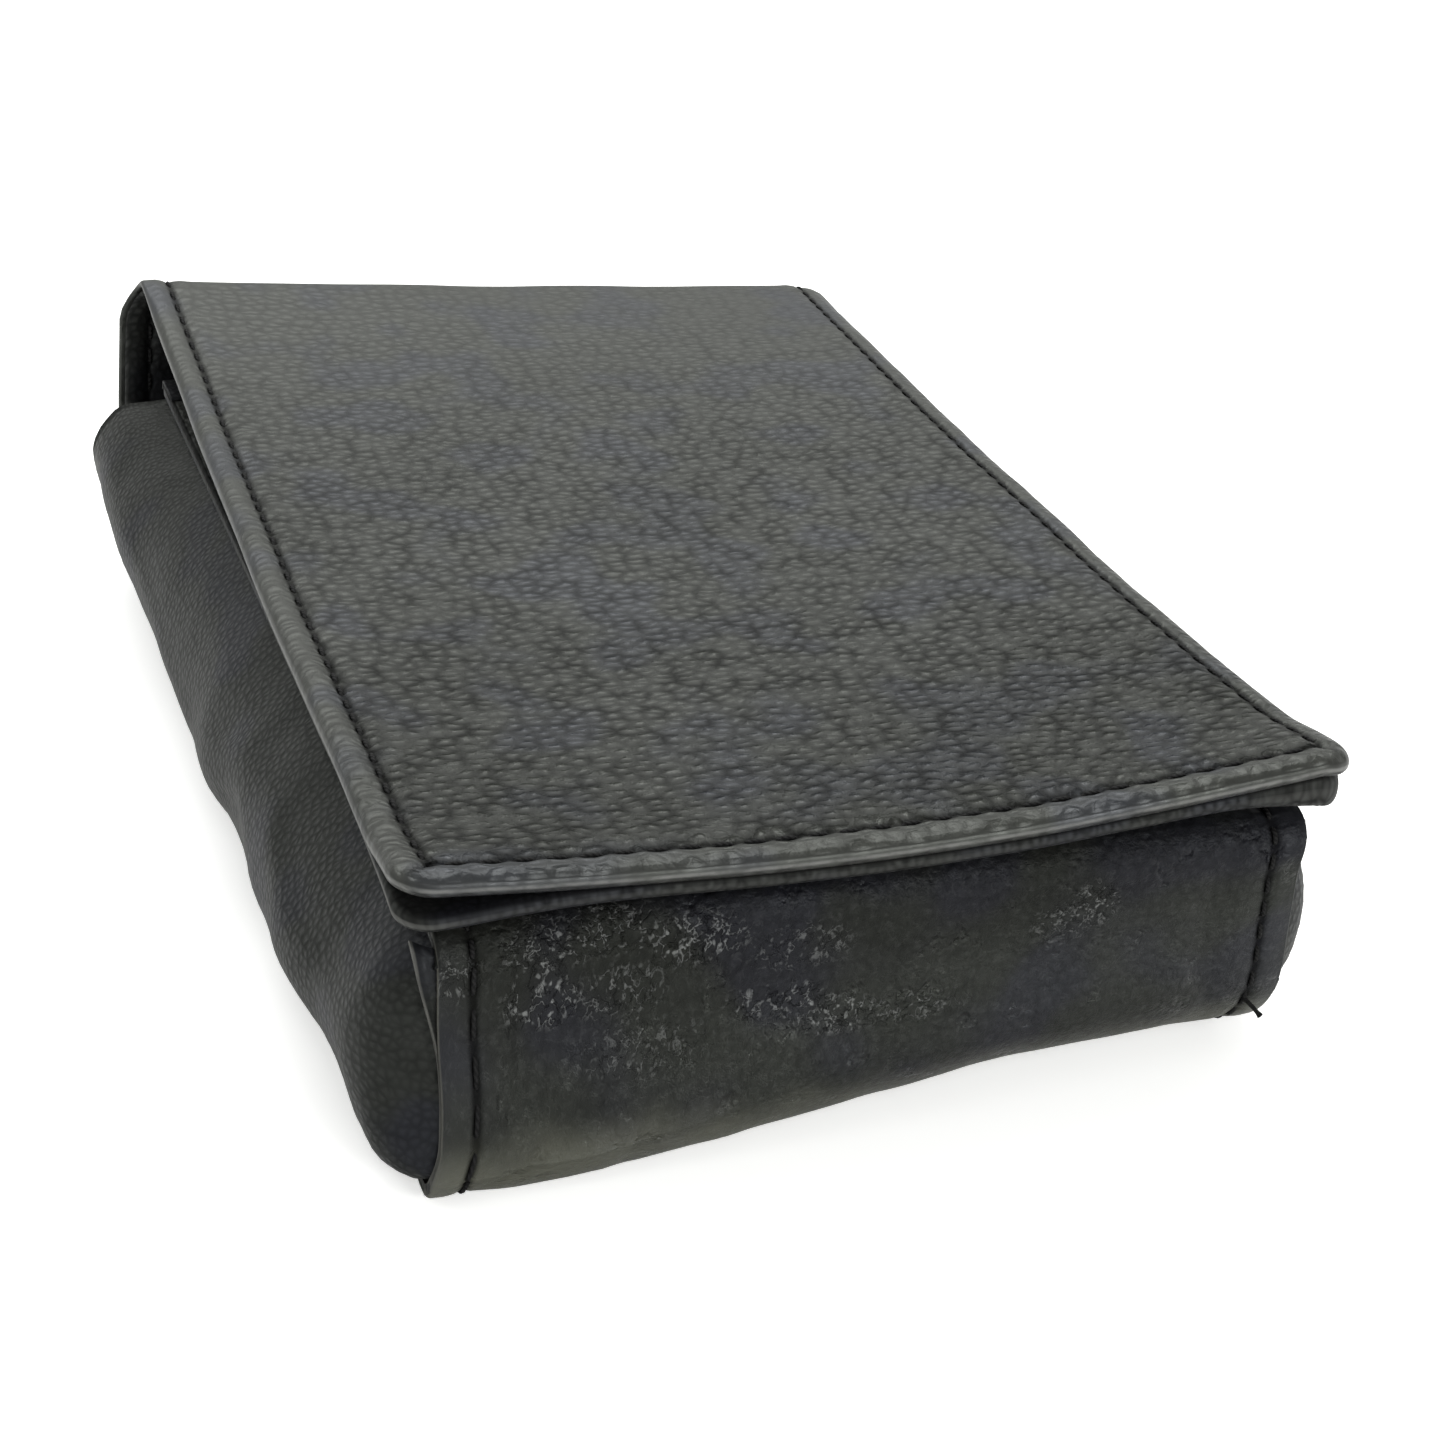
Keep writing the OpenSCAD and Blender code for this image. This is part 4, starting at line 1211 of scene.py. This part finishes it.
    def closed_end_gloss_and_painted_light(self):
        """Crumpled, glossy finish of the closed end, with painted highlights and painted light on
        its foot.
        """
        coords, end = self.coords, self.end
        wet = self.noise(self.moved(coords, (9.0, 4.0, 0.0)), 1.0 / 6.0, rough=0.6)
        wet = wet.ramp(0.55, 0.68)
        wet_end = wet * end
        self.rough = self.rough - wet_end * 0.21
        self.spec = self.spec * self.blend(end, 1.0, self.blend(wet, 0.70, 0.95))
        # painted shade under the flap: the shine is dimmed near the top of the closed end
        shade_below_bend = self.along.ramp(S_WALL - 3, S_WALL + 11, to=(0.45, 1.0))
        self.spec = self.spec * self.blend(end, 1.0, shade_below_bend)
        crumple = self.noise(self.warped(coords, 2.0, 1.6), 0.80, detail=5.0, rough=0.68)
        flakes = self.voronoi(self.warped(coords, 1.1, 0.9), 1.0 / 1.1, "SMOOTH_F1")
        self.height = (self.height * (1 - end * 0.78) + crumple * end * 1.75
                       + flakes * wet_end * 2.6)

        # painted highlights: pale crescents and specks on the crumpled skin, in a few groups
        x, _, z = self.split(self.object_mm())
        group = 0.05
        for glint_x, glint_z, half_width, half_height, strength in PAINTED_GLINTS:
            dx = (x - glint_x) * (1 / half_width)
            dz = (z - glint_z) * (1 / half_height)
            spot = (dx * dx + dz * dz).ramp(2.2, 0.05, to=(0.0, strength))
            group = self.math("MAXIMUM", group, spot)
        group = group * end
        arc = self.noise(self.warped(coords, 1.4, 1.3), 0.62, detail=2.5, rough=0.62)
        arc = self.math("ABSOLUTE", arc - 0.5).ramp(0.048, 0.006)
        short = self.noise(self.moved(coords, (31.0, 17.0, 0.0)), 0.75, detail=2.0)
        speck = self.noise(self.moved(coords, (3.0, 57.0, 0.0)), 1.2, detail=1.0)
        painted_glint = self.math("MAXIMUM", arc * short.ramp(0.45, 0.58) * group,
                          speck.ramp(0.62, 0.74) * group)
        broken = self.fine.ramp(0.30, 0.62, to=(0.45, 1.0))
        # painted highlight: the crescents and specks lighten the colour
        self.color = self.mix(painted_glint * broken * 0.78, self.color, (0.20, 0.204, 0.202))
        self.rough = self.rough - group * 0.12
        self.spec = self.spec + painted_glint * 0.6
        self.height = self.height + arc * group * 1.6
        # the foot turns under and picks up the light of whatever it stands on
        foot = (z + (self.middle - 0.5) * 6.0).ramp(11.0, 1.0) * end
        self.color = self.mix(foot * 0.85, self.color, (0.115, 0.116, 0.092))

    def cover_rim(self):
        """Rubbed cut edge: a thin pale line on the flap."""
        line = self.rim.ramp(0.90, 0.985) * self.along.ramp(S_FLAP - 8, S_FLAP + 2)
        rubbed = self.noise(self.coords, 0.35, rough=0.6).ramp(0.30, 0.62, to=(0.35, 1.0))
        self.color = self.mix(line * rubbed * 0.85, self.color, (0.135, 0.135, 0.130))
        beside = self.rim.ramp(0.2, 0.8) * (1 - line) * 0.4
        self.color = self.mix(beside, self.color, (0.030, 0.030, 0.029))

    def raw_rim(self, rim_color):
        """Raw edge, rubbed here and there."""
        rim = self.rim
        if self.kind == "pouch":
            # it shows at the closed end only, and is shaded elsewhere
            raw = rim.ramp(0.70, 0.95) * self.end
            shade = rim.ramp(0.0, 0.4) * (1 - self.end)
            self.color = self.mix(shade, self.color, (0.0022, 0.0022, 0.0022))
            self.spec = self.spec * (1 - shade * 0.9)
        elif self.kind == "gusset":
            raw = rim.ramp(0.72, 0.95)
        else:
            # strong along the left edge, faint elsewhere on the flap
            left = self.across.ramp(-FLAP_HALF + 9, -FLAP_HALF + 1, to=(0.16, 1.0))
            raw = rim.ramp(0.86, 0.98) * (left * self.along.ramp(S_FLAP - 8, S_FLAP + 4))
        worn = self.middle.ramp(0.3, 0.65, to=(0.45, 0.95))
        self.color = self.mix(raw * worn, self.color, rim_color)
        self.rough = self.rough + rim * 0.15

    def on_side(self):
        return self.math("GREATER_THAN", self.run, SIDE_RUN_MIN)

    def seam(self):
        """Leather drawn down between stitches, with painted shade in the stitch groove, darkest at
        each stitch.
        """
        turn = 2 * math.pi / PITCH
        if self.kind == "cover":
            angle = self.blend(self.on_side(), (self.run + EDGE_SHIFT) * turn,
                               (self.run - SIDE_STITCH) * turn)
            pull = self.blend(self.on_side(), 0.30, 0.10)
        else:
            angle = (self.run - (SEAM_START + 0.5 * PITCH)) * turn
            pull = 0.30
        dash = self.math("COSINE", angle).ramp(-0.55, 0.45)
        near = (1 - self.math("ABSOLUTE", self.from_seam).ramp(0.15, 1.05)) * self.outer
        beside = self.math("ABSOLUTE", self.from_seam + 1.3)
        pucker = (1 - beside.ramp(0.2, 2.2)) * self.outer
        # the turned hem is stretched smoother than the field
        self.height = (self.height * self.blend(self.hem, 1.0, 0.50)
                       - near * self.blend(dash, 0.15, 0.75) - pucker * dash * pull)
        # painted shade in the stitch groove, darkest at each stitch
        groove_shade = near * self.blend(dash, 0.42, 0.95)
        self.color = self.mix(groove_shade, self.color, (0.0028, 0.0028, 0.0028))
        self.spec = self.spec * (1 - near * 0.8)


# ---------------------------------------------------------------- other materials


def suede(name, base):
    m = Material(name)
    coords = m.attribute("lco")
    nap = m.noise(coords, 1.6, detail=4.0, rough=0.7)
    brushed = m.noise(m.scaled(coords, (0.35, 0.10, 0.3)), 1.0, rough=0.6)
    fleck = m.noise(coords, 6.0, detail=2.0, rough=0.7)
    dark, light, brushed_light = (tuple(c * k for c in base) for k in (0.55, 1.7, 2.3))
    color = m.mix(nap.ramp(0.3, 0.7), dark, light)
    color = m.mix(brushed.ramp(0.45, 0.62) * 0.4, color, brushed_light)
    return m.finish(color, fleck.ramp(0.3, 0.7, to=(0.86, 0.98)), nap + fleck * 0.5,
                    depth=0.00025, Sheen_Weight=0.35, Sheen_Roughness=0.5,
                    Specular_IOR_Level=0.2)


def thread(name):
    m = Material(name)
    coords = m.attribute("lco")
    forward, around, _ = m.split(coords)
    twist = m.math("SINE", forward * 9.0 + around * 5.0)     # plies twist round the thread
    fuzz = m.noise(coords, 8.0, rough=0.6)
    color = m.mix(twist.ramp(-0.6, 0.8), (0.003, 0.003, 0.003), (0.011, 0.011, 0.011))
    return m.finish(color, fuzz.ramp(0.3, 0.7, to=(0.55, 0.8)), twist * 0.6 + fuzz,
                    depth=0.00008, Specular_IOR_Level=0.18)


def metal(name, base, tarnish, rough):
    m = Material(name)
    place = m.object_mm()
    blotch = m.noise(place, 0.8, detail=4.0, rough=0.6)
    brushing = m.noise(m.scaled(place, (1.0, 1.0, 6.0)), 3.0, rough=0.7)
    color = m.mix(blotch.ramp(0.52, 0.70) * 0.6, base, tarnish)
    roughness = (brushing.ramp(0.3, 0.7, to=(rough - 0.06, rough + 0.12))
                 + blotch.ramp(0.5, 0.7) * 0.15)
    return m.finish(color, roughness, brushing, depth=0.00003, Metallic=1.0)


def card(name):
    m = Material(name)
    place = m.object_mm()
    fibre = m.noise(m.scaled(place, (0.5, 2.2, 2.2)), 0.9, detail=5.0, rough=0.7)
    speck = m.noise(place, 3.0, detail=2.0, rough=0.7)
    color = m.mix(fibre.ramp(0.3, 0.7), (0.30, 0.235, 0.16), (0.46, 0.38, 0.27))
    color = m.mix(speck.ramp(0.6, 0.75) * 0.5, color, (0.16, 0.12, 0.08))
    return m.finish(color, speck.ramp(0.3, 0.7, to=(0.82, 0.95)), fibre, depth=0.0001)


COVER_LEATHER = Leather("cover_leather", "cover", cell=1.85, depth=0.00036, cavity=0.72,
                        stretch=(0.76, 1.14, 1.0)).data
POUCH_LEATHER = Leather("pouch_leather", "pouch", cell=1.8, depth=0.00026, rough=(0.38, 0.60),
                        rim_color=(0.092, 0.090, 0.078)).data
# painted shade for the sides of the case: the gusset's crown colours are darker than the cover's
GUSSET_LEATHER = Leather("gusset_leather", "gusset", cell=1.25, depth=0.00014, relief=0.8,
                         light=(0.0098, 0.0104, 0.0096), cool=(0.0086, 0.0090, 0.0122),
                         rough=(0.46, 0.62), spec=0.26, cavity=0.38,
                         rim_color=(0.125, 0.125, 0.115)).data
LINING_LEATHER = Leather("lining_leather", "lining", cell=1.2, depth=0.00012, relief=0.5,
                         light=(0.0095, 0.0095, 0.0095), cool=(0.0080, 0.0082, 0.0105),
                         rough=(0.44, 0.62), spec=0.34, cavity=0.7,
                         rim_color=(0.110, 0.110, 0.104)).data
SUEDE_NAP = suede("pouch_suede_nap", base=(0.016, 0.016, 0.017))
THREAD = thread("waxed_thread")
BRASS = metal("plated_brass_metal", base=(0.60, 0.57, 0.50), tarnish=(0.42, 0.33, 0.18),
              rough=0.26)
SPRING = metal("spring_wire", base=(0.55, 0.55, 0.56), tarnish=(0.40, 0.39, 0.37), rough=0.2)
CARD = card("grey_card")

# ---------------------------------------------------------------- kept pieces of the frame


def repaint(piece, material):
    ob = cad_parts[piece]
    if not ob.material_slots:
        ob.data.materials.append(material)
    for slot in ob.material_slots:
        slot.link = "OBJECT"
        slot.material = material
    return ob


for piece in ("snap_stud", "snap_post", "snap_cap", "snap_socket"):
    bevel = repaint(piece, BRASS).modifiers.new("soft_edges", "BEVEL")
    bevel.width = 0.00012
    bevel.segments = 2
    bevel.limit_method = "ANGLE"
    bevel.angle_limit = math.radians(40)
repaint("snap_spring", SPRING)
for piece in ("front_board", "back_board"):
    repaint(piece, CARD)

# ---------------------------------------------------------------- bodies


def dress(ob, material, slot, *replaced):
    ob.data.materials.append(material)
    if replaced:
        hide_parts(*replaced)


for ob, *details in (
        (left_seam, THREAD, "thread", "left_seam_thread"),
        (right_seam, THREAD, "thread", "right_seam_thread"),
        (pouch_hide, POUCH_LEATHER, "outer_hide", "body_wrap"),
        (left_gusset, GUSSET_LEATHER, "gusset_hide", "left_gusset"),
        (right_gusset, GUSSET_LEATHER, "gusset_hide", "right_gusset"),
        (left_gusset_lining, SUEDE_NAP, "pouch_suede", "left_gusset_lining"),
        (right_gusset_lining, SUEDE_NAP, "pouch_suede", "right_gusset_lining"),
        (pouch_lining, SUEDE_NAP, "pouch_suede", "pouch_lining"),
        (binding, LINING_LEATHER, "outer_hide", "mouth_binding"),
        (binding_thread, THREAD, "thread", "mouth_binding_thread"),
        (loose_end, THREAD, "thread")):
    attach(ob, "pouch")
    dress(ob, *details)
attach(flap_card, "flap")
dress(flap_card, CARD, "card", "flap_board")

for ob, *details in (
        (fold_hide, COVER_LEATHER, "outer_hide", "back_fold_leather"),
        (fold_lining, LINING_LEATHER, "lining_hide", "back_fold_lining"),
        (fold_stitches, THREAD, "thread")):
    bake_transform(ob)
    dress(ob, *details)
for ob, *details in (
        (cover_hide, COVER_LEATHER, "outer_hide",
         "spine_leather", "front_fold_leather", "flap_leather"),
        (cover_lining, LINING_LEATHER, "lining_hide",
         "spine_lining", "front_fold_lining", "flap_lining"),
        (cover_stitches, THREAD, "thread", "flap_thread", "spine_thread"),
        (lining_stitches, THREAD, "thread", "flap_lining_thread")):
    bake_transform(ob)
    dress(ob, *details)

# ---------------------------------------------------------------- studio (metres)

scene = bpy.context.scene


def pale_floor(half_size=4.0):
    mesh = bpy.data.meshes.new("studio_floor")
    mesh.from_pydata([(half_size * x, half_size * y, 0)
                      for x, y in ((-1, -1), (1, -1), (1, 1), (-1, 1))], [], [(0, 1, 2, 3)])
    floor = bpy.data.objects.new("studio_floor", mesh)
    scene.collection.objects.link(floor)
    floor.location = (0, 0, -0.0006)
    m = Material("pale_floor")
    seen = m.node("ShaderNodeLightPath", out="Is Camera Ray")
    mesh.materials.append(m.finish(
        (0.93, 0.93, 0.925), 0.9, Specular_IOR_Level=0.1, Emission_Color=(1.0, 1.0, 0.99),
        Emission_Strength=seen * 0.50))


def soft_box_world(back=0.76, base=0.19, top=0.40):
    """Plain white to the eye; as a light, a soft box brightest high up at the +y side.
    back: strength there. base, top: strength all round, low down and overhead."""
    world = bpy.data.worlds.new("studio_world")
    scene.world = world
    world.use_nodes = True
    g = Graph(world.node_tree)
    _, y, z = g.split(g.node("ShaderNodeTexCoord", out="Generated"))
    glow = y.ramp(-0.2, 0.85, to=(0.0, back)) * z.ramp(-0.02, 0.30, to=(0.45, 1.0))
    glow = glow * z.ramp(0.45, 0.95, to=(1.0, 0.45))
    light = g.node("ShaderNodeBackground",
                   {0: (0.985, 1.0, 0.97), 1: glow + z.ramp(0.3, 1.0, to=(base, top))})
    eye = g.node("ShaderNodeBackground", {0: (1, 1, 1), 1: 1.0})
    seen = g.node("ShaderNodeLightPath", out="Is Camera Ray")
    surface = g.node("ShaderNodeMixShader", {0: seen, 1: light, 2: eye})
    g.put(g.tree.nodes.new("ShaderNodeOutputWorld").inputs[0], surface)


def area_light(name, place, target, size, power):
    light = bpy.data.lights.new(name, "AREA")
    light.shape = "RECTANGLE"
    light.size, light.size_y = size
    light.energy = power
    ob = bpy.data.objects.new(name, light)
    scene.collection.objects.link(ob)
    ob.location = place
    ob.rotation_euler = (Vector(target) - Vector(place)).to_track_quat("-Z", "Y").to_euler()


def camera(place, yaw, pitch, roll, lens):
    """Angles in degrees: yaw from +y towards +x, pitch downwards. Lens in millimetres."""
    yaw, pitch, roll = (math.radians(a) for a in (yaw, pitch, roll))
    forward = np.array([math.sin(yaw) * math.cos(pitch), math.cos(yaw) * math.cos(pitch),
                        -math.sin(pitch)])
    level = np.array([math.cos(yaw), -math.sin(yaw), 0.0])
    upright = np.cross(level, forward)
    right = math.cos(roll) * level + math.sin(roll) * upright
    up = -math.sin(roll) * level + math.cos(roll) * upright
    data = bpy.data.cameras.new("camera")
    data.sensor_fit = "HORIZONTAL"
    data.sensor_width = 36.0
    data.lens = lens
    data.clip_start = 0.01
    data.clip_end = 20.0
    ob = bpy.data.objects.new("camera", data)
    scene.collection.objects.link(ob)
    rows = [list(row) for row in zip(right, up, -forward, place)]
    ob.matrix_world = Matrix(rows + [[0, 0, 0, 1]])
    scene.camera = ob


pale_floor()
soft_box_world()
area_light("key_overhead", place=(0.15, 0.55, 1.15), target=(0, 0, 0.02), size=(1.3, 0.9),
           power=14.5)
area_light("fill_left", place=(-1.0, -0.1, 0.7), target=(0, 0, 0.02), size=(0.8, 0.8),
           power=2.2)
area_light("front_fill", place=(0.36, -1.0, 0.40), target=(0, -0.09, 0.02), size=(0.4, 0.22),
           power=6.5)
area_light("front_sparkle", place=(-0.25, -0.9, 0.75), target=(0, -0.08, 0.02),
           size=(0.16, 0.16), power=1.6)
camera(place=(-0.12631, -0.36750, 0.22109), yaw=20.852, pitch=28.523, roll=3.522,
       lens=73.256388)
scene.view_settings.view_transform = "Standard"
scene.view_settings.look = "None"
